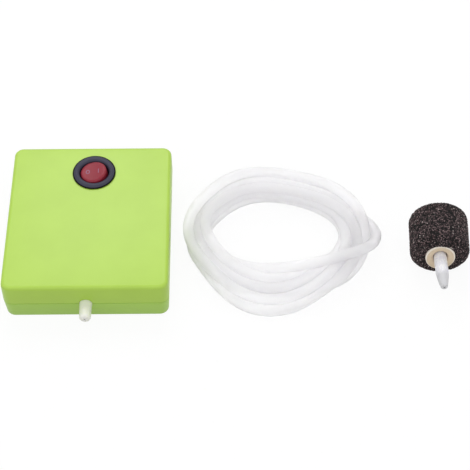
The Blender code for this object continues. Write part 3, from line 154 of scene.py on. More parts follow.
# Air stone
STONE_PLACE = (193.4 * MM, -23.1 * MM, 16.45 * MM)    # the middle of its front face
STONE_RADIUS = 16.25 * MM              # under the grains
STONE_LENGTH = 26.4 * MM
STONE_ROUND = 3.4 * MM
STONE_TURN = math.radians(-2.8)
COLLAR_TURN = math.radians(-0.5)       # the collar and spigot are glued in a little askew
COLLAR_RISE = math.radians(13)
SPIGOT_RISE = math.radians(8)
COLLAR_LIFT = 0.5 * MM
SPIGOT_DROP = 0.2 * MM
COLLAR_RADIUS = 8.1 * MM
COLLAR_BACK = 0.3 * MM
COLLAR_FACE = 1.9 * MM
COLLAR_LIP = 0.5 * MM
COLLAR_PLAY = 0.42 * MM                # round the spigot
COLLAR_SIDES = 72
HUB_RADIUS = 5.0 * MM
HUB_LENGTH = 6.0 * MM
HUB_PLAY = 0.3 * MM                    # round the collar's hub, in the stone
SPIGOT_RADIUS = 3.55 * MM
SPIGOT_TIP_RADIUS = 2.1 * MM
SPIGOT_BORE = 1.3 * MM
SPIGOT_TIP_BORE = 0.55 * MM
SPIGOT_END = 23.4 * MM                 # from the stone's face
SPIGOT_TAPER = 12.0 * MM
SPIGOT_CURVE = 1.8                     # above 1 the taper is steepest at the tip
SPIGOT_CLEAR_Y = -38 * MM              # in front of this the spigot has no bubbles and no painted light
GRAIN = 0.75 * MM
GRAIN_STEP = 0.3 * MM                  # between the points of the stone's surface

# Studio
FLOOR_HALF = 6.0
FLOOR_CARD = (0.6, 0.6, 0.6)           # the floor's colour in bounced light
FLOOR_GLOW = 0.92                      # share of plain white in what is seen of it; the rest shows the shadow
SKY = 0.55                             # strength of the even light
LIGHT_AIM = (0.06, 0.0, 0.0)


# ---------------------------------------------------------------- shading

class Wire:
    """One output of a material's node. Arithmetic on it adds Math nodes."""

    def __init__(self, paint, socket):
        self.paint = paint
        self.socket = socket

    def maths(self, operation, *values):
        return self.paint.node("ShaderNodeMath", {"operation": operation}, dict(enumerate(values)))

    def __add__(self, other):
        return self.maths("ADD", self, other)

    __radd__ = __add__

    def __mul__(self, other):
        return self.maths("MULTIPLY", self, other)

    __rmul__ = __mul__

    def __sub__(self, other):
        return self.maths("SUBTRACT", self, other)

    def __rsub__(self, other):
        return self.maths("SUBTRACT", other, self)

    def __truediv__(self, other):
        return self.maths("DIVIDE", self, other)

    def clamped(self):
        return self.maths("MAXIMUM", self.maths("MINIMUM", self, 1.0), 0.0)

    def rising(self, start, width):
        """0 up to the start, then rising to 1 over the width."""
        return ((self - start) / width).clamped()

    def greatest(self, other):
        return self.maths("MAXIMUM", self, other)


class Paint:
    """The nodes of a material, of the world or of a mesh."""

    def __init__(self, tree, material=None):
        self.tree = tree
        self.material = material
        tree.nodes.clear()

    def node(self, kind, settings=None, inputs=None, output=0):
        """Adds a node: its settings first, then the values or links of its sockets."""
        made = self.tree.nodes.new(kind)
        for key, value in (settings or {}).items():
            if key == "stops":
                self.stops(made.color_ramp, value)
            else:
                setattr(made, key, value)
        for key, value in (inputs or {}).items():
            if isinstance(value, Wire):
                self.tree.links.new(value.socket, made.inputs[key])
            else:
                made.inputs[key].default_value = value
        return Wire(self, made.outputs[output]) if made.outputs else made

    @staticmethod
    def stops(ramp, stops):
        while len(ramp.elements) > 1:
            ramp.elements.remove(ramp.elements[-1])
        for index, (place, colour) in enumerate(stops):
            element = ramp.elements[0] if index == 0 else ramp.elements.new(place)
            element.position = place
            element.color = (*colour, 1.0)

    def place(self):
        return self.node("ShaderNodeTexCoord", output="Object")

    def stretched(self, where, factors):
        return self.node("ShaderNodeVectorMath", {"operation": "MULTIPLY"}, {0: where, 1: factors})

    def noise(self, size, detail=3.0, roughness=0.5, where=None, warp=0.0):
        return self.node("ShaderNodeTexNoise", {}, {
            "Vector": where or self.place(), "Scale": 1.0 / size, "Detail": detail,
            "Roughness": roughness, "Distortion": warp})

    def cells(self, size, where=None):
        """How far each point is from the middle of its cell."""
        return self.node("ShaderNodeTexVoronoi", {}, {"Vector": where or self.place(), "Scale": 1.0 / size})

    def from_point(self, where, point):
        return self.node("ShaderNodeVectorMath", {"operation": "DISTANCE"}, {0: where, 1: point}, "Value")

    def stored(self, name):
        """A value that the mesh holds at each point."""
        return self.node("ShaderNodeAttribute", {"attribute_name": name}, {}, "Fac")

    def along(self, axis):
        return self.node("ShaderNodeSeparateXYZ", {}, {0: self.place()}, axis)

    def ramp(self, value, *stops):
        return self.node("ShaderNodeValToRGB", {"stops": stops}, {0: value})

    def blend(self, factor, first, second):
        def colour(value):
            return (*value, 1.0) if isinstance(value, tuple) else value
        return self.node("ShaderNodeMix", {"data_type": "RGBA"},
                         {0: factor, 6: colour(first), 7: colour(second)}, 2)

    def bump(self, height, depth):
        return self.node("ShaderNodeBump", {}, {"Height": height, "Distance": depth, "Strength": 1.0})

    def mixed(self, factor, first, second):
        return self.node("ShaderNodeMixShader", {}, {0: factor, 1: first, 2: second})

    def surface(self, **inputs):
        return self.node("ShaderNodeBsdfPrincipled", {},
                         {key.replace("_", " "): value for key, value in inputs.items()})

    def finish(self, shader):
        self.node("ShaderNodeOutputMaterial", {}, {"Surface": shader})
        return self.material


def paint(name):
    """A new material without nodes."""
    material = bpy.data.materials.new(name)
    material.use_nodes = True
    return Paint(material.node_tree, material)


def moulded(name, colour, roughness, grain=0.35 * MM, depth=0.008 * MM, **extra):
    """Injection moulded plastic: a fine spark-eroded grain, with slow changes of colour and sheen."""
    p = paint(name)
    shift = 0.02
    drift = p.noise(22 * MM, 3)
    fine = p.noise(grain, 2, 0.6)
    pale = tuple(min(1.0, c * (1 + shift) + 0.004) for c in colour)
    deep = tuple(c * (1 - shift) for c in colour)
    base = p.blend(p.ramp(drift, (0.35, (0, 0, 0)), (0.65, (1, 1, 1))), deep, pale)
    rough = roughness + (drift - 0.5) * 0.03 + (fine - 0.5) * 0.08
    return p.finish(p.surface(Base_Color=base, Roughness=rough, Normal=p.bump(fine, depth), **extra))


def housing_green():
    return moulded("housing_green", (0.398, 0.610, 0.062), 0.38, Specular_IOR_Level=0.56)


def base_green():
    """The lower shell's green, a little duller than the upper one's."""
    return moulded("base_green", (0.365, 0.604, 0.063), 0.40, Specular_IOR_Level=0.56)


def door_green():
    return moulded("door_green", (0.388, 0.595, 0.060), 0.40, Specular_IOR_Level=0.56)


def bezel_black():
    """Slate grey nylon with a satin face, and a near black rim painted round its edge as shade."""
    p = paint("bezel_black")
    fine = p.noise(0.4 * MM, 2)
    cloud = p.noise(4 * MM, 3)
    out = p.from_point(p.stretched(p.place(), (1, 1, 0)), (SWITCH_X, SWITCH_Y, 0))
    grey = p.blend(cloud, (0.030, 0.030, 0.052), (0.044, 0.044, 0.070))
    # painted shade: the near black rim round the bezel's edge stands for the shadow there
    black = p.blend(cloud, (0.006, 0.006, 0.007), (0.010, 0.010, 0.011))
    grain = p.bump(fine, 0.01 * MM)
    face = p.surface(Base_Color=grey, Roughness=0.42 + fine * 0.06, Normal=grain, Specular_IOR_Level=0.22)
    painted_rim_shading = p.surface(Base_Color=black, Roughness=0.7 + fine * 0.1, Normal=grain, Specular_IOR_Level=0.05)
    return p.finish(p.mixed(out.rising(BEZEL_RADIUS - BEZEL_SHADE_RIM, 0.15 * MM), face, painted_rim_shading))


def rocker_red():
    """Deep red nylon that lets a little light in."""
    p = paint("rocker_red")
    cloud = p.noise(5 * MM, 2)
    base = p.blend(cloud, (0.22, 0.010, 0.022), (0.285, 0.020, 0.040))
    grain = p.bump(p.noise(0.6 * MM, 2), 0.006 * MM)
    return p.finish(p.surface(
        Base_Color=base, Roughness=0.36 + cloud * 0.08, Normal=grain, Specular_IOR_Level=0.3,
        Subsurface_Weight=0.2, Subsurface_Radius=(1.0, 0.2, 0.2), Subsurface_Scale=2 * MM))


def mark_grey():
    return moulded("mark_grey", (0.26, 0.13, 0.22), 0.5)


def nozzle_cream():
    return moulded("nozzle_cream", (0.85, 0.85, 0.765), 0.38, grain=0.3 * MM, Subsurface_Weight=0.6,
                   Subsurface_Radius=(1.0, 1.0, 0.85), Subsurface_Scale=2.5 * MM)


def head_white():
    return moulded("head_white", (0.74, 0.74, 0.70), 0.45)


def end_cap_black():
    return moulded("end_cap_black", (0.025, 0.025, 0.027), 0.5)


def black_rubber():
    return moulded("black_rubber", (0.022, 0.022, 0.024), 0.62, grain=0.25 * MM, depth=0.02 * MM)


def spigot_white():
    """Milky white polythene, full of small bubbles near the collar and smooth towards its tip. Near the
    collar it is painted paler, as light against the collar's shade, and it is greyer towards the tip.
    """
    p = paint("spigot_white")
    bubbly_and_painted_light = p.along("Y").rising(SPIGOT_CLEAR_Y, 4 * MM)
    cells = p.cells(0.7 * MM, p.stretched(p.place(), (1, 0.55, 0.8)))
    fine = p.noise(0.4 * MM, 2)
    bubble = (1 - (cells * 1.5).clamped()) * bubbly_and_painted_light
    # painted light: the body is paler near the collar, to lift the shade that falls there
    body = p.blend(bubbly_and_painted_light, (0.62, 0.62, 0.635), (0.82, 0.81, 0.87))
    base = p.blend((bubble * 1.4).clamped(), body, (0.97, 0.97, 0.98))
    relief = p.bump(bubble + fine * 0.1, 0.06 * MM)
    return p.finish(p.surface(
        Base_Color=base, Roughness=0.30 + fine * 0.1, Normal=relief, Specular_IOR_Level=0.35,
        Subsurface_Weight=0.6, Subsurface_Radius=(1.0, 1.0, 1.1), Subsurface_Scale=2.0 * MM))


def collar_beige():
    """Mottled beige plastic, with a painted highlight on its lip and painted shade round the spigot."""
    p = paint("collar_beige")
    mottle = p.noise(1.6 * MM, 4, 0.6)
    near = p.from_point(p.place(), STONE_PLACE)
    # painted highlight: the rounded lip is made paler, as if light catches it
    painted_rim_shading = near.rising(COLLAR_RADIUS - 0.7 * MM, 0.6 * MM)
    # painted shade: a brown ring round the spigot, where the collar meets it
    painted_contact_shade = 1 - near.rising(SPIGOT_RADIUS + 0.7 * MM, 1.1 * MM)
    base = p.blend(mottle, (0.66, 0.53, 0.37), (0.80, 0.66, 0.48))
    base = p.blend(painted_contact_shade * 0.4, base, (0.52, 0.40, 0.34))
    base = p.blend(painted_rim_shading, base, (0.92, 0.84, 0.73))
    relief = p.bump(mottle, 0.05 * MM)
    return p.finish(p.surface(Base_Color=base, Roughness=0.46 + mottle * 0.12, Normal=relief))


def tube_milky():
    """Milky silicone: light crosses it and spreads in it."""
    p = paint("tube_milky")
    haze = p.noise(9 * MM, 3)
    fine = p.noise(0.8 * MM, 2)
    base = p.blend(haze, (0.966, 0.958, 0.974), (0.984, 0.978, 0.988))
    grain = p.bump(fine, 0.01 * MM)
    return p.finish(p.surface(
        Base_Color=base, Roughness=0.50 + fine * 0.08, Normal=grain, Specular_IOR_Level=0.25,
        Subsurface_Weight=1.0, Subsurface_Radius=(1.0, 1.0, 1.05), Subsurface_Scale=8.5 * MM,
        Transmission_Weight=0.62, IOR=1.03))


def stone_grit():
    """Sintered grit: each grain has its own tone, a few are pale, with rust, and the pits between painted
    near black as shade.
    """
    p = paint("stone_grit")
    fine = p.noise(0.35 * MM, 3, 0.6)
    tones = p.ramp(
        p.stored("grain_tone") + (fine - 0.5) * 0.3,
        (0.0, (0.046, 0.028, 0.030)), (0.38, (0.105, 0.071, 0.074)), (0.54, (0.185, 0.127, 0.132)),
        (0.85, (0.25, 0.176, 0.177)), (0.95, (0.34, 0.243, 0.23)), (0.975, (0.80, 0.74, 0.70)))
    rust = p.ramp(p.noise(3 * MM, 3), (0.55, (0, 0, 0)), (0.75, (1, 1, 1)))
    rusty = p.blend(rust * 0.5, tones, (0.085, 0.026, 0.026))
    # painted shade: the pits between the grains are painted near black
    above_painted_pit_shade = ((p.stored("grain_height") - 0.36) * 2.8).clamped()
    base = p.blend(above_painted_pit_shade, (0.002, 0.0015, 0.0015), rusty)
    relief = p.bump(p.cells(0.5 * MM) + fine * 0.6, 0.16 * MM)
    return p.finish(p.surface(
        Base_Color=base, Roughness=0.5 + fine * 0.3, Normal=relief, Specular_IOR_Level=0.2))


def metal(name, colour, roughness, along=(1, 1, 1)):
    """Metal with slow tarnish and fine streaks, which a small factor draws out along its axis."""
    p = paint(name)
    streak = p.noise(0.6 * MM, 3, 0.6, where=p.stretched(p.place(), along))
    tarnish = p.noise(5 * MM, 3)
    base = p.blend(tarnish * 0.7, colour, tuple(c * 0.72 for c in colour))
    rough = roughness + streak * 0.15 - 0.05
    grain = p.bump(streak, 0.01 * MM)
    return p.finish(p.surface(Base_Color=base, Metallic=1.0, Roughness=rough, Normal=grain))


def blade_brass():
    return metal("blade_brass", (0.80, 0.58, 0.26), 0.28, (1, 1, 0.1))


def sprung_steel():
    return metal("sprung_steel", (0.66, 0.65, 0.62), 0.24)


def motor_steel():
    return metal("motor_steel", (0.60, 0.60, 0.61), 0.32, (1, 0.08, 1))


def screw_zinc():
    return metal("screw_zinc", (0.68, 0.68, 0.70), 0.30)


def cell_wrap():
    """Dark printed film over a battery cell."""
    p = paint("cell_wrap")
    haze = p.noise(6 * MM, 2)
    base = p.blend(haze, (0.030, 0.034, 0.042), (0.050, 0.055, 0.066))
    film = p.bump(p.noise(1.2 * MM, 2), 0.01 * MM)
    return p.finish(p.surface(Base_Color=base, Roughness=0.22 + haze * 0.1, Metallic=0.15, Normal=film))


def filter_felt():
    """Off-white needled fibre."""
    p = paint("filter_felt")
    fibre = p.noise(0.3 * MM, 4, 0.7, warp=2.0)
    base = p.blend(fibre, (0.50, 0.49, 0.44), (0.80, 0.79, 0.74))
    return p.finish(p.surface(Base_Color=base, Roughness=0.95, Normal=p.bump(fibre, 0.15 * MM)))


def lead_red():
    return moulded("lead_red", (0.42, 0.020, 0.020), 0.40)


def lead_black():
    return moulded("lead_black", (0.020, 0.020, 0.022), 0.42)


FINISHES = {recipe.__name__: recipe for recipe in (
    housing_green, base_green, door_green, bezel_black, rocker_red, mark_grey, nozzle_cream, head_white,
    end_cap_black, black_rubber, spigot_white, collar_beige, tube_milky, stone_grit, blade_brass,
    sprung_steel, motor_steel, screw_zinc, cell_wrap, filter_felt, lead_red, lead_black)}
MADE = {}


def finish_of(name):
    """The material of a finish, made once."""
    if name not in MADE:
        MADE[name] = FINISHES[name]()
    return MADE[name]


# ---------------------------------------------------------------- meshes

def shown_as(name, data):
    """A new object in the scene."""
    made = bpy.data.objects.new(name, data)
    bpy.context.scene.collection.objects.link(made)
    return made


def piece(name, points, faces, slot, body="pump", finish=None):
    """A visible piece with its finish, smooth but for its sharp edges, that moves with a body."""
    mesh = bpy.data.meshes.new(name)
    mesh.from_pydata([tuple(p) for p in points], [], faces)
    mesh.validate()
    skin = bmesh.new()
    skin.from_mesh(mesh)
    bmesh.ops.recalc_face_normals(skin, faces=skin.faces)
    skin.to_mesh(mesh)
    skin.free()
    for face in mesh.polygons:
        face.use_smooth = True
    mesh.set_sharp_from_angle(angle=PIECE_SHARP)
    made = shown_as(name, mesh)
    mesh.materials.append(finish_of(finish or slot))
    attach(made, body)
    return made


def arc(centre, radius, start, end, steps):
    """Points (radius, height) round an arc, with its angles in degrees."""
    angles = [math.radians(start + (end - start) * step / steps) for step in range(steps + 1)]
    return [(centre[0] + radius * math.cos(angle), centre[1] + radius * math.sin(angle)) for angle in angles]


def round_angles(sides):
    """Angles at even steps round a circle."""
    return [2 * math.pi * side / sides for side in range(sides)]


def loft(rings):
    """Points and faces of a skin over rings of points. A ring of one point closes an end."""
    points, faces, starts = [], [], []
    for ring in rings:
        starts.append(len(points))
        points.extend(ring)
    for first, second, start, after in zip(rings, rings[1:], starts, starts[1:]):
        sides = max(len(first), len(second))
        for side in range(sides):
            turn = (side + 1) % sides
            if len(first) == 1:
                faces.append((start, after + side, after + turn))
            elif len(second) == 1:
                faces.append((start + turn, start + side, after))
            else:
                faces.append((start + turn, start + side, after + side, after + turn))
    return points, faces


def turned(profile, sides):
    """Rings round the Z axis, one for each (radius, height) of a profile."""
    return [[Vector((radius * math.cos(a), radius * math.sin(a), height)) for a in round_angles(sides)]
            for radius, height in profile]


def placed(rings, place):
    """The same rings in another frame."""
    return [[place @ point for point in ring] for ring in rings]


def facing_front(place, turn=0.0, rise=0.0):
    """A frame whose Z axis points to the front, turned to the side and raised."""
    return (Matrix.Translation(place) @ Matrix.Rotation(turn, 4, "Z") @ Matrix.Rotation(-rise, 4, "X")
            @ Matrix.Rotation(math.pi / 2, 4, "X"))


def soften_nodes():
    """Gives the frame's faceted nodes smooth shading, with their sharp edges kept."""
    group = bpy.data.node_groups.new("soft_shading", "GeometryNodeTree")
    group.interface.new_socket("Geometry", in_out="INPUT", socket_type="NodeSocketGeometry")
    group.interface.new_socket("Geometry", in_out="OUTPUT", socket_type="NodeSocketGeometry")
    p = Paint(group)
    given = p.node("NodeGroupInput")
    bare = p.node("GeometryNodeRemoveAttribute", {}, {"Geometry": given, "Name": "custom_normal"})
    joined = p.node("GeometryNodeMergeByDistance", {}, {"Geometry": bare, "Distance": 0.002 * MM})
    angle = p.node("GeometryNodeInputMeshEdgeAngle", {}, {}, "Unsigned Angle")
    gentle = p.node("FunctionNodeCompare", {"data_type": "FLOAT", "operation": "LESS_THAN"},
                    {0: angle, 1: NODE_SHARP})
    faces = p.node("GeometryNodeSetShadeSmooth", {"domain": "FACE"}, {"Geometry": joined})
    edges = p.node("GeometryNodeSetShadeSmooth", {"domain": "EDGE"},
                   {"Geometry": faces, "Shade Smooth": gentle})
    p.node("NodeGroupOutput", {}, {0: edges})
    for node in NODES.values():
        node.modifiers.new("soft_shading", "NODES").node_group = group


# ---------------------------------------------------------------- camera, floor and light

def set_camera():
    """The camera, square to the pump but for a little yaw and roll."""
    forward = Vector((math.sin(CAMERA_YAW) * math.cos(CAMERA_ELEVATION),
                      math.cos(CAMERA_YAW) * math.cos(CAMERA_ELEVATION), -math.sin(CAMERA_ELEVATION)))
    level = Vector((math.cos(CAMERA_YAW), -math.sin(CAMERA_YAW), 0.0))
    above = level.cross(forward)
    right = level * math.cos(CAMERA_ROLL) + above * math.sin(CAMERA_ROLL)
    top = above * math.cos(CAMERA_ROLL) - level * math.sin(CAMERA_ROLL)
    data = bpy.data.cameras.new("camera")
    data.lens = CAMERA_LENS
    data.sensor_width = 36
    data.clip_start = 0.01
    camera = shown_as("camera", data)
    turn = Matrix((right, top, -forward)).transposed().to_4x4()
    camera.matrix_world = Matrix.Translation(Vector(CAMERA_AIM) - forward * CAMERA_DISTANCE) @ turn
    bpy.context.scene.camera = camera


def seen_directly(p):
    """1 for rays from the camera, and for what gloss and clear plastic show."""
    rays = {name: p.node("ShaderNodeLightPath", {}, {}, name)
            for name in ("Is Camera Ray", "Is Glossy Ray", "Is Transmission Ray")}
    return rays["Is Camera Ray"].greatest(rays["Is Glossy Ray"]).greatest(rays["Is Transmission Ray"])


def make_floor():
    """A pale floor that shows white and keeps a soft shadow."""
    mesh = bpy.data.meshes.new("floor")
    corners = [(x * FLOOR_HALF, y * FLOOR_HALF, 0) for x, y in ((-1, -1), (1, -1), (1, 1), (-1, 1))]
    mesh.from_pydata(corners, [], [(0, 1, 2, 3)])
    floor = shown_as("floor", mesh)
    p = paint("floor_white")
    card = p.node("ShaderNodeBsdfDiffuse", {}, {"Color": p.blend(seen_directly(p), FLOOR_CARD, (1, 1, 1))})
    glow = p.node("ShaderNodeEmission", {}, {"Color": (1, 1, 1, 1), "Strength": 1.0})
    mesh.materials.append(p.finish(p.mixed(seen_directly(p) * FLOOR_GLOW, card, glow)))


def softbox(name, place, size, power):
    """A soft lamp that faces the pump, with its place and size in m and its power in W."""
    data = bpy.data.lights.new(name, "AREA")
    data.shape = "RECTANGLE"
    data.size, data.size_y = size
    data.energy = power
    lamp = shown_as(name, data)
    lamp.location = place
    lamp.rotation_euler = (Vector(LIGHT_AIM) - Vector(place)).to_track_quat("-Z", "Y").to_euler()


def light_scene():
    """An even sky, with a softbox behind the pump, a large one in front and one at each side."""
    world = bpy.data.worlds.new("studio")
    world.use_nodes = True
    bpy.context.scene.world = world
    p = Paint(world.node_tree)
    strength = SKY + seen_directly(p) * (1 - SKY)
    sky = p.node("ShaderNodeBackground", {}, {"Color": (1, 1, 1, 1), "Strength": strength})
    p.node("ShaderNodeOutputWorld", {}, {"Surface": sky})
    softbox("overhead_box", (-0.05, 0.70, 0.96), (0.8, 0.65), 5.0)
    softbox("high_box", (0.0, -0.9, 1.15), (1.9, 1.2), 5.4)
    softbox("left_box", (-1.2, -0.15, 0.9), (1.8, 1.3), 3.5)
    softbox("right_box", (1.35, -0.15, 0.9), (1.8, 1.3), 3.5)
    bpy.context.scene.view_settings.view_transform = "Standard"


# ---------------------------------------------------------------- airline tube

def smoothly(a, b, c, d, u):
    """From b to c, on a smooth line through four values."""
    return 0.5 * (2 * b + (c - a) * u + (2 * a - 5 * b + 4 * c - d) * u ** 2
                  + (3 * b - a - 3 * c + d) * u ** 3)


def eased(share):
    """A share from 0 to 1 with a soft start and end."""
    return share * share * (3 - 2 * share)


def at_angle(values, angle):
    """Values given evenly round a circle, read smoothly at any angle."""
    place = (np.degrees(angle) % 360) / (360 / len(values))
    index = np.floor(place).astype(int)
    return smoothly(*[values[(index + step) % len(values)] for step in (-1, 0, 1, 2)], place - index)


def spline_weights(controls, steps):
    """Uniform cubic B-spline weights: a row for each point, a column for each control."""
    place = np.linspace(0, controls - 1, (controls - 1) * steps + 1)
    index = np.minimum(place.astype(int), controls - 2)
    u = place - index
    parts = np.stack([(1 - u) ** 3, 3 * u ** 3 - 6 * u ** 2 + 4,
                      3 * u + 3 * u ** 2 - 3 * u ** 3 + 1, u ** 3], 1) / 6
    weights = np.zeros((len(place), controls))
    rows = np.arange(len(place))
    ends = ((-1, 0, 1), (controls, controls - 1, controls - 2))
    for step in range(4):
        column = index + step - 1
        inside = (column >= 0) & (column < controls)
        np.add.at(weights, (rows[inside], column[inside]), parts[inside, step])
        for beyond, first, second in ends:
            outside = column == beyond
            np.add.at(weights, (rows[outside], first), 2 * parts[outside, step])
            np.add.at(weights, (rows[outside], second), -parts[outside, step])
    return weights


def evenly(points, spacing):
    """The same line with points at even distances."""
    along = np.r_[0, np.cumsum(np.linalg.norm(np.diff(points, axis=0), axis=1))]
    wanted = np.linspace(0, along[-1], int(round(along[-1] / spacing)) + 1)
    return np.stack([np.interp(wanted, along, points[:, axis]) for axis in range(3)], 1)


def through(points, count):
    """A smooth line through a few points."""
    points = np.array(points, float)
    held = np.vstack([2 * points[0] - points[1], points, 2 * points[-1] - points[-2]])
    place = np.linspace(0, len(points) - 1 - 1e-9, count)
    index = place.astype(int)
    return smoothly(*[held[index + step] for step in range(4)], (place - index)[:, None])


def wound_turns(tail):
    """The turns before they settle. Each starts in its own place in the bundle and changes it once a turn."""
    radius = TUBE_RADIUS / MM
    middle, width, height = np.array(BUNDLE, float).T
    phi = np.radians(np.linspace(COIL_START, 360 * COIL_TURNS + COIL_LEAVES, 1200))
    turn = (phi - phi[0]) / (2 * math.pi)
    out = np.sqrt((turn + COIL_CORE) / COIL_TURNS)
    part = (turn + COIL_CROSSES) % 1
    slots = turn + COIL_CROSSES - part + eased(np.clip(part / COIL_CROSSING, 0, 1))
    round_bundle = np.radians(COIL_TWIST * slots + COIL_PHASE)
    r = at_angle(middle, phi) + (at_angle(width, phi) / 2 - radius) * out * np.cos(round_bundle)
    tall = at_angle(height, phi)
    z = tall / 2 + (tall / 2 - radius) * out * np.sin(round_bundle)
    ease = eased(np.clip((phi - phi[-1]) / math.radians(COIL_EASE) + 1, 0, 1))
    r = r * (1 - ease) + math.hypot(tail[0, 0] - COIL_CENTRE[0], tail[0, 1] - COIL_CENTRE[1]) * ease
    z = z * (1 - ease) + tail[0, 2] * ease
    return np.stack([COIL_CENTRE[0] + r * np.cos(phi), COIL_CENTRE[1] + r * np.sin(phi), z], 1)


def draw_in(line, free, late):
    """Draws the turns back within the bundle's width and height, late on only gently."""
    sideways, down = (0.12, 0.05) if late else (0.4, 0.25)
    radius = TUBE_RADIUS / MM
    middle, width, height = np.array(BUNDLE, float).T
    flat = line[:, :2] - COIL_CENTRE
    r = np.linalg.norm(flat, axis=1)
    angle = np.arctan2(flat[:, 1], flat[:, 0])
    off = r - at_angle(middle, angle)
    half = at_angle(width, angle) / 2 - radius
    pull = (np.clip(off, -half, half) - off) * sideways * free
    line[:, :2] += flat / r[:, None] * pull[:, None]
    high = np.maximum(line[:, 2] - at_angle(height, angle) + radius, 0)
    line[:, 2] -= high * down * free


def contacts(line, distant, reach):
    """Pairs of points on different strands that are near each other."""
    square = (line ** 2).sum(1)
    gap = square[:, None] + square[None, :] - 2 * (line @ line.T)
    return np.nonzero((gap < reach ** 2) & distant)


def push_apart(line, pairs, apart, gives):
    """Moves strands that overlap away from each other, and all of them up to the floor."""
    first, second = pairs
    between = line[first] - line[second]
    gap = np.linalg.norm(between, axis=1) + 1e-6
    hit = gap < apart
    a, b = first[hit], second[hit]
    push = between[hit] * ((apart - gap[hit]) / gap[hit])[:, None]
    ours = (gives[a] / (gives[a] + gives[b]))[:, None]
    moved = np.zeros_like(line)
    times = np.zeros(len(line))
    np.add.at(moved, a, push * ours)
    np.add.at(moved, b, push * (ours - 1))
    np.add.at(times, a, 1)
    np.add.at(times, b, 1)
    line += moved / np.maximum(times, 1)[:, None] * OVERSHOOT
    line[:, 2] = np.maximum(line[:, 2], TUBE_RADIUS / MM)


def straighten(controls):
    """Smooths kinks, and keeps the controls evenly apart."""
    for _ in range(2):
        kink = controls[:-4] - 4 * controls[1:-3] + 6 * controls[2:-2] - 4 * controls[3:-1] + controls[4:]
        controls[2:-2] -= kink * STIFFNESS
    steps = controls[1:] - controls[:-1]
    long = np.linalg.norm(steps, axis=1)
    shift = steps * ((long - CONTROLS_APART) * SPACING / long)[:, None]
    controls[:-1] += shift
    controls[1:] -= shift
    controls[:, 2] = np.maximum(controls[:, 2], TUBE_RADIUS / MM)


def lay_coil():
    """The tube's centreline in mm. The turns settle until they lie on the floor and on each other a diameter
    apart, bending as stiff tube does."""
    apart = 2 * (TUBE_RADIUS / MM) * STRANDS_APART
    tail = through(TAIL, TAIL_POINTS)
    controls = evenly(np.vstack([wound_turns(tail), tail]), CONTROLS_APART)
    weights = spline_weights(len(controls), CONTROL_STEPS)
    share = weights.T / weights.sum(0)[:, None]
    count = len(weights)
    body = count - len(evenly(tail, CONTROLS_APART)) * CONTROL_STEPS
    guide = (weights @ controls)[body:]
    gives = np.ones(count)
    gives[body:] = TAIL_GIVES
    # From 26 to 6 points before the tail, the bundle lets go of the last turn
    free = np.clip((body - np.arange(body) - 6) / 20, 0, 1)
    index = np.arange(count)
    along = np.abs(index[:, None] - index[None, :]) * CONTROLS_APART / CONTROL_STEPS
    distant = np.triu(along >= SAME_STRAND)

    for step in range(SETTLING + EASING):
        late = step >= SETTLING
        tail_pull = 0.04 if late else 0.25
        line = weights @ controls
        before = line.copy()
        if not late:
            line[:body, 2] -= SINKING
        draw_in(line[:body], free, late)
        line[body:] += (guide - line[body:]) * tail_pull
        if step % CONTACT_ROUNDS == 0:
            pairs = contacts(line, distant, apart + CONTACT_SEARCH)
        for _ in range(3):
            push_apart(line, pairs, apart, gives)
        controls = controls + (share @ (line - before)) * FOLLOWING
        straighten(controls)
    line = weights @ controls
    line[:, 2] = np.maximum(line[:, 2], TUBE_RADIUS / MM)
    return line


def tube_mesh(line):
    """Points and faces of the tube along its centreline. Its bore runs in from each end, and stops where
    nobody looks, so that light crosses the tube as it does in milky silicone."""
    along = np.gradient(line, axis=0)
    along /= np.linalg.norm(along, axis=1)[:, None]
    across = [np.cross(along[0], (0, 0, 1))]
    for step in along:
        sideways = across[-1] - step * across[-1].dot(step)
        across.append(sideways / np.linalg.norm(sideways))
    across = np.array(across[1:])
    upward = np.cross(along, across)
    last = len(line) - 1
    rings = [(row, TUBE_BORE) for row in range(TUBE_BORE_ROWS, -1, -1)]
    rings += [(row, TUBE_RADIUS) for row in range(last + 1)]
    rings += [(row, TUBE_BORE) for row in range(last, last - TUBE_BORE_ROWS - 1, -1)]
    turn = np.linspace(0, 2 * math.pi, TUBE_SIDES, endpoint=False)[:, None]
    points = np.concatenate([line[row] + radius * (np.cos(turn) * across[row] + np.sin(turn) * upward[row])
                             for row, radius in rings])
    faces = [tuple(range(TUBE_SIDES))[::-1]]
    for start in range(0, (len(rings) - 1) * TUBE_SIDES, TUBE_SIDES):
        for side in range(TUBE_SIDES):
            a, b = start + side, start + (side + 1) % TUBE_SIDES
            faces.append((a, b, b + TUBE_SIDES, a + TUBE_SIDES))
    faces.append(tuple(range(len(points) - TUBE_SIDES, len(points))))
    return points, faces


def make_airline():
    """The coiled tube, from its start inside the bundle to the end of its tail."""
    line = lay_coil() * MM
    points, faces = tube_mesh(line)
    tube = piece("airline_tube", points, faces, "tube_milky")
    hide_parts("airline_coil")


# ---------------------------------------------------------------- housing, switch and outlet

def make_seam():
    """The thin green web that fills the seam between the halves, broken where the outlet crosses it."""

    def outline(inset):
        radius = CORNER_RADIUS - inset
        corners = []
        for x, y, start in ((1, -1, -90), (1, 1, 0), (-1, 1, 90), (-1, -1, 180)):
            middle = (x * (HALF_WIDTH - CORNER_RADIUS), y * (HALF_DEPTH - CORNER_RADIUS))
            corners += arc(middle, radius, start, start + 90, 8)
        front = -(HALF_DEPTH - inset)
        gap = NOZZLE_ROOT_RADIUS + 0.2 * MM
        return [(gap, front)] + corners + [(-gap, front)]

    outer, inner = outline(SEAM_INSET), outline(SEAM_INSET + SEAM_DEPTH)
    low, high = SEAM_Z - SEAM_HALF_HEIGHT, SEAM_Z + SEAM_HALF_HEIGHT
    rings = [[Vector((*out, low)), Vector((*out, high)), Vector((*inside, high)), Vector((*inside, low))]
             for out, inside in zip(outer, inner)]
    points, faces = loft(rings)
    last = len(points) - 4
    faces += [(0, 1, 2, 3), (last + 3, last + 2, last + 1, last)]
    piece("housing_seam", points, faces, "housing_green")


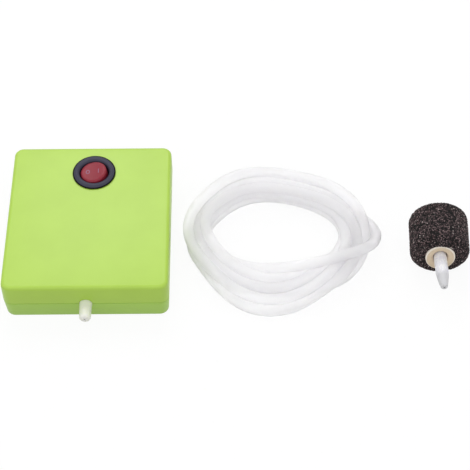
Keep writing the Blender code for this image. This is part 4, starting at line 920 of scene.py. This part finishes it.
def make_bezel():
    """The switch's flanged barrel, with a lip round its sloping face that its finish paints black as shade,
    and an oval well.
    """

    def ring(half_x, half_y, height):
        return [Vector((SWITCH_X + half_x * math.cos(a), SWITCH_Y + half_y * math.sin(a), height))
                for a in round_angles(SWITCH_SIDES)]

    # mm in from the rim and up from the seat, then out from the well and down from the top
    slope = ((0.0, 0.1), (0.0, 0.24), (0.08, 0.34), (0.25, 0.42), (0.8, 0.6), (1.3, 0.78), (1.7, 0.93),
             (2.1, 1.04), (2.35, 1.08))
    well = ((1.7, 0.0), (1.1, 0.10), (0.6, 0.32), (0.25, 0.65), (0.06, 1.05), (0.0, 1.6))
    outline = [(BARREL_RADIUS, BARREL_BOTTOM), (BARREL_RADIUS, BEZEL_SEAT)]
    outline += [(BEZEL_RADIUS - 0.1 * MM, BEZEL_SEAT)]
    outline += [(BEZEL_RADIUS - inset * MM, BEZEL_SEAT + rise * MM) for inset, rise in slope]
    rings = [[Vector((SWITCH_X, SWITCH_Y, BARREL_BOTTOM))]]
    rings += [ring(radius, radius, height) for radius, height in outline]
    rings += [ring(WELL_HALF_X + out * MM, WELL_HALF_Y + out * MM, BEZEL_TOP - drop * MM)
              for out, drop in well]
    rings += [ring(WELL_HALF_X, WELL_HALF_Y, BARREL_FLOOR), [Vector((SWITCH_X, SWITCH_Y, BARREL_FLOOR))]]
    bezel = piece("switch_bezel", *loft(rings), "bezel_black")
    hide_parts("switch_body")


def rocker_top(x):
    """The height of the rocker's dished top over its pivot."""
    crest = math.sqrt(ROCKER_SWEEP ** 2 - ROCKER_RISE ** 2)
    dish = (crest ** 2 + ROCKER_DISH ** 2) / (2 * ROCKER_DISH)
    return ROCKER_RISE - ROCKER_DISH + dish - math.sqrt(dish ** 2 - x ** 2)


def rocker_rest():
    """Where the rocker lies at rest."""
    return Matrix.Translation((SWITCH_X, SWITCH_Y, PIVOT_Z)) @ Matrix.Rotation(ROCKER_TILT, 4, "Y")


def make_rocker():
    """A round rocker with a softly dished top and a rounded edge."""

    def held_in(x, y, z):
        """Keeps a point inside the arc that the rocker's ends sweep."""
        over = max(1.0, math.hypot(x, z) / ROCKER_SWEEP)
        return Vector((x / over, y, z / over))

    angles = round_angles(SWITCH_SIDES)
    flat = ROCKER_RADIUS - ROCKER_EDGE
    spans = [(flat * step / 6, 0.0) for step in range(1, 7)]
    spans += [(flat + ROCKER_EDGE * math.sin(math.radians(a)), ROCKER_EDGE * (1 - math.cos(math.radians(a))))
              for a in (18, 36, 54, 72, 90)]
    rings = [[Vector((0, 0, -ROCKER_SKIRT))]]
    rings += [[held_in(ROCKER_RADIUS * math.cos(a), ROCKER_RADIUS * math.sin(a), height) for a in angles]
              for height in (-ROCKER_SKIRT, -1.2 * MM, 0.4 * MM)]
    rings += [[held_in(r * math.cos(a), r * math.sin(a), rocker_top(r * math.cos(a)) - drop) for a in angles]
              for r, drop in reversed(spans)]
    rings.append([Vector((0, 0, rocker_top(0)))])
    rocker = piece("switch_rocker_cap", *loft(placed(rings, rocker_rest())), "rocker_red", "rocker")
    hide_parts("switch_rocker")


def inlay(name, inner, outer, closed):
    """A band between two outlines, sunk in the rocker's dish with its top just proud of it."""
    rest = rocker_rest()
    points, faces = [], []
    for inside, outside in zip(inner, outer):
        for (x, y), lift in ((inside, MARK_SUNK), (inside, MARK_PROUD), (outside, MARK_PROUD),
                             (outside, MARK_SUNK)):
            points.append(rest @ Vector((x, y, rocker_top(x) + lift)))
    count = len(inner)
    for step in range(count if closed else count - 1):
        a, b = 4 * step, 4 * ((step + 1) % count)
        for edge in range(4):
            over = (edge + 1) % 4
            faces.append((a + edge, b + edge, b + over, a + over))
    if not closed:
        last = 4 * (count - 1)
        faces += [(0, 1, 2, 3), (last + 3, last + 2, last + 1, last)]
    piece(name, points, faces, "rocker_red", "rocker", finish="mark_grey")


def make_marks():
    """An O and an I in the rocker, for off and on."""
    tall = MARK_RADIUS * MARK_TALL
    ring = [(math.cos(a), math.sin(a)) for a in round_angles(SWITCH_SIDES)[::2]]
    off = [(-MARK_OUT + MARK_RADIUS * x, tall * y) for x, y in ring]
    hollow = [(-MARK_OUT + (MARK_RADIUS - MARK_STROKE) * x, (tall - MARK_STROKE) * y) for x, y in ring]
    inlay("rocker_mark_off", hollow, off, True)
    rows = [tall * step / 4 for step in range(-4, 5)]
    left, right = [[(MARK_OUT + side * MARK_STROKE / 2, y) for y in rows] for side in (-1, 1)]
    inlay("rocker_mark_on", left, right, False)


def make_nozzle():
    """The outlet, snug in its hole, with a flange that the housing's halves trap and a soft round tip."""
    reach = -NOZZLE_TIP_Y
    front, back, tail = [WALL_INSIDE - behind * MM for behind in (0.3, 1.5, 7.5)]
    profile = [(NOZZLE_TIP_BORE, reach - 0.5 * MM), (NOZZLE_TIP_BORE, reach - 0.12 * MM),
               (NOZZLE_TIP_BORE + 0.15 * MM, reach)]
    profile += arc((NOZZLE_RADIUS - NOZZLE_TIP_ROUND, reach - NOZZLE_TIP_ROUND), NOZZLE_TIP_ROUND, 78, 0, 8)
    profile += [(NOZZLE_RADIUS + 0.02 * MM, reach - 4.5 * MM), (NOZZLE_RADIUS + 0.10 * MM, reach - 7.5 * MM),
                (NOZZLE_ROOT_RADIUS, reach - 9.9 * MM), (NOZZLE_ROOT_RADIUS, front),
                (NOZZLE_FLANGE_RADIUS, front), (NOZZLE_FLANGE_RADIUS, back), (NOZZLE_TAIL_RADIUS, back),
                (NOZZLE_TAIL_RADIUS, tail), (NOZZLE_BORE, tail), (NOZZLE_BORE, reach - 1.5 * MM),
                (NOZZLE_TIP_BORE, reach - 0.5 * MM)]
    rings = placed(turned(profile, 48), facing_front((0, 0, NOZZLE_Z)))
    nozzle = piece("outlet_spout", *loft(rings), "nozzle_cream")
    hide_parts("outlet_nozzle")


# ---------------------------------------------------------------- air stone

def stone_outline():
    """The drum's outline, from the collar's hole over the front edge and side to near the back's middle."""
    edge = STONE_ROUND
    flat = STONE_RADIUS - edge
    hole = HUB_RADIUS + HUB_PLAY
    side = STONE_LENGTH - 2 * edge
    steps = int((flat - HUB_RADIUS) / GRAIN_STEP)
    edge_steps = int(edge * math.pi / 2 / GRAIN_STEP)
    side_steps = int(side / GRAIN_STEP)
    outline = [(hole + (flat - hole) * step / steps, 0.0) for step in range(steps)]
    outline += arc((flat, -edge), edge, 90, 0, edge_steps)
    outline += [(STONE_RADIUS, -edge - side * step / side_steps) for step in range(1, side_steps)]
    outline += arc((flat, edge - STONE_LENGTH), edge, 0, -90, edge_steps)
    outline += [(flat * (1 - step / (2 * steps)), -STONE_LENGTH) for step in range(1, 2 * steps - 1)]
    return outline


def out_of_drum(p):
    """The drum's outward direction at a point of its outline."""
    edge = STONE_ROUND
    from_axis = Vector((p.x, p.y, 0)).length
    share = max(0.0, min(1.0, (from_axis - (STONE_RADIUS - edge)) / edge))
    out = Vector((p.x, p.y, 0)) * share / max(from_axis, 1e-9)
    out.z = (p.z - min(max(p.z, edge - STONE_LENGTH), -edge)) / edge
    if out.length < 0.1:
        out = Vector((0, 0, 1 if p.z > -edge else -1))
    return out.normalized()


def make_stone():
    """The stone's rounded drum, rough with grains of many heights, and flat behind the collar."""
    place = facing_front(STONE_PLACE, STONE_TURN)
    seat = place.inverted() @ facing_front(STONE_PLACE, COLLAR_TURN, COLLAR_RISE)
    to_seat = seat.inverted()
    seat_radius = COLLAR_RADIUS + 0.2 * MM
    around = int(2 * math.pi * STONE_RADIUS / GRAIN_STEP)
    rings = turned(stone_outline(), around)
    bottom = -HUB_LENGTH - HUB_PLAY
    hole = [[Vector((0, 0, bottom))], [Vector((p.x, p.y, bottom)) for p in rings[0]]]
    points, faces = loft(hole + rings + [[Vector((0, 0, -STONE_LENGTH))]])
    grains = [(0.0, 0.0, 0.0)] * len(points)
    rim, last = 1 + around, len(points) - 1
    for index in range(rim, last):
        point = points[index]
        if index >= rim + around:
            grains[index] = grain_at(point)
            point = point + out_of_drum(point) * grains[index][0]
        inside = to_seat @ point
        if math.hypot(inside.x, inside.y) < seat_radius and inside.z > 0:
            inside.z = 0.0
            point = seat @ inside
        points[index] = point
    points = [place @ point for point in points]
    for point in points:
        point.z = max(point.z, 0.0)
    stone = piece("stone_grains", points, faces, "stone_grit")
    for name, column in (("grain_height", 1), ("grain_tone", 2)):
        held = stone.data.attributes.new(name, "FLOAT", "POINT")
        held.data.foreach_set("value", [grain[column] for grain in grains])
    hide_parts("stone_body")


def grain_at(p):
    """How far the grit stands out at a point, how high in its grain the point is, and the grain's tone."""
    near, middles = noise.voronoi(p / GRAIN, distance_metric="DISTANCE", exponent=2.5)
    grain = 1.0 - min(1.0, (near[0] / max(near[1], 1e-6)) ** 2)
    middle = middles[0]
    # The digits far behind the point of a large sine spread the tones evenly over the grains
    tone = math.sin(middle.x * 127.1 + middle.y * 311.7 + middle.z * 74.7) * 43758.5453
    hollow = min(0.0, noise.noise(p / (1.5 * MM)) + 0.1)
    stands = 0.42 * (grain - 0.5) + 0.45 * hollow + 0.12 * noise.noise(p / (7 * MM))
    return stands * MM, max(0.0, min(1.0, grain + 1.2 * hollow)), tone % 1.0


def make_collar():
    """The beige collar, dished, and glued in the stone's face."""
    bore = SPIGOT_RADIUS + COLLAR_PLAY
    profile = [(bore, -HUB_LENGTH)]
    profile += [(bore + out * MM, COLLAR_FACE - drop * MM)
                for out, drop in ((0, 1.2), (0.25, 0.86), (0.9, 0.62))]
    profile += [(COLLAR_RADIUS - inset * MM, COLLAR_FACE - drop * MM)
                for inset, drop in ((2.0, 0.46), (1.25, 0.34))]
    profile += arc((COLLAR_RADIUS - COLLAR_LIP, COLLAR_FACE - COLLAR_LIP), COLLAR_LIP, 150, 0, 7)
    profile += [(COLLAR_RADIUS, COLLAR_BACK + 0.2 * MM), (COLLAR_RADIUS - 0.2 * MM, COLLAR_BACK),
                (HUB_RADIUS, COLLAR_BACK), (HUB_RADIUS, -HUB_LENGTH), (bore, -HUB_LENGTH)]
    place = facing_front(Vector(STONE_PLACE) + Vector((0, 0, COLLAR_LIFT)), COLLAR_TURN, COLLAR_RISE)
    rings = placed(turned(profile, COLLAR_SIDES), place)
    collar = piece("stone_collar_dished", *loft(rings), "collar_beige")
    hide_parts("stone_collar")


def make_spigot():
    """The white spigot in the collar's middle: it tapers to a round tip."""
    tip = SPIGOT_TIP_RADIUS - SPIGOT_TIP_BORE
    profile = [(SPIGOT_BORE, -HUB_LENGTH), (SPIGOT_BORE, SPIGOT_END - 5 * MM),
               (SPIGOT_TIP_BORE, SPIGOT_END - 3 * MM), (SPIGOT_TIP_BORE, SPIGOT_END - tip * 0.35)]
    lean = math.degrees(math.atan(SPIGOT_CURVE * (SPIGOT_RADIUS - SPIGOT_TIP_RADIUS) / SPIGOT_TAPER))
    profile += arc((SPIGOT_TIP_RADIUS - tip, SPIGOT_END - tip), tip, 96, lean, 9)
    waist, reach = profile[-1]
    for share in (0.88, 0.75, 0.62, 0.5, 0.38, 0.25, 0.12, 0.0):
        narrowed = (SPIGOT_RADIUS - waist) * share ** SPIGOT_CURVE
        profile.append((SPIGOT_RADIUS - narrowed, reach - SPIGOT_TAPER * (1 - share)))
    profile += [(SPIGOT_RADIUS, -HUB_LENGTH), (SPIGOT_BORE, -HUB_LENGTH)]
    place = facing_front(Vector(STONE_PLACE) - Vector((0, 0, SPIGOT_DROP)), COLLAR_TURN, SPIGOT_RISE)
    spigot = piece("stone_spout", *loft(placed(turned(profile, 48), place)), "spigot_white")
    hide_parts("stone_spigot")


# ---------------------------------------------------------------- everything

def dress_nodes():
    """Each node kept from the frame gets its slot's finish. The lower shell has a green of its own."""
    finishes = {row["node"]: row["material_slot"] for row in frame["record"]["subparts"]}
    finishes["base_housing"] = "base_green"
    for name, node in NODES.items():
        node.data.materials.clear()
        node.data.materials.append(finish_of(finishes[name]))


set_camera()
make_airline()
make_seam()
make_bezel()
make_rocker()
make_marks()
make_nozzle()
make_stone()
make_collar()
make_spigot()
dress_nodes()
soften_nodes()
make_floor()
light_scene()
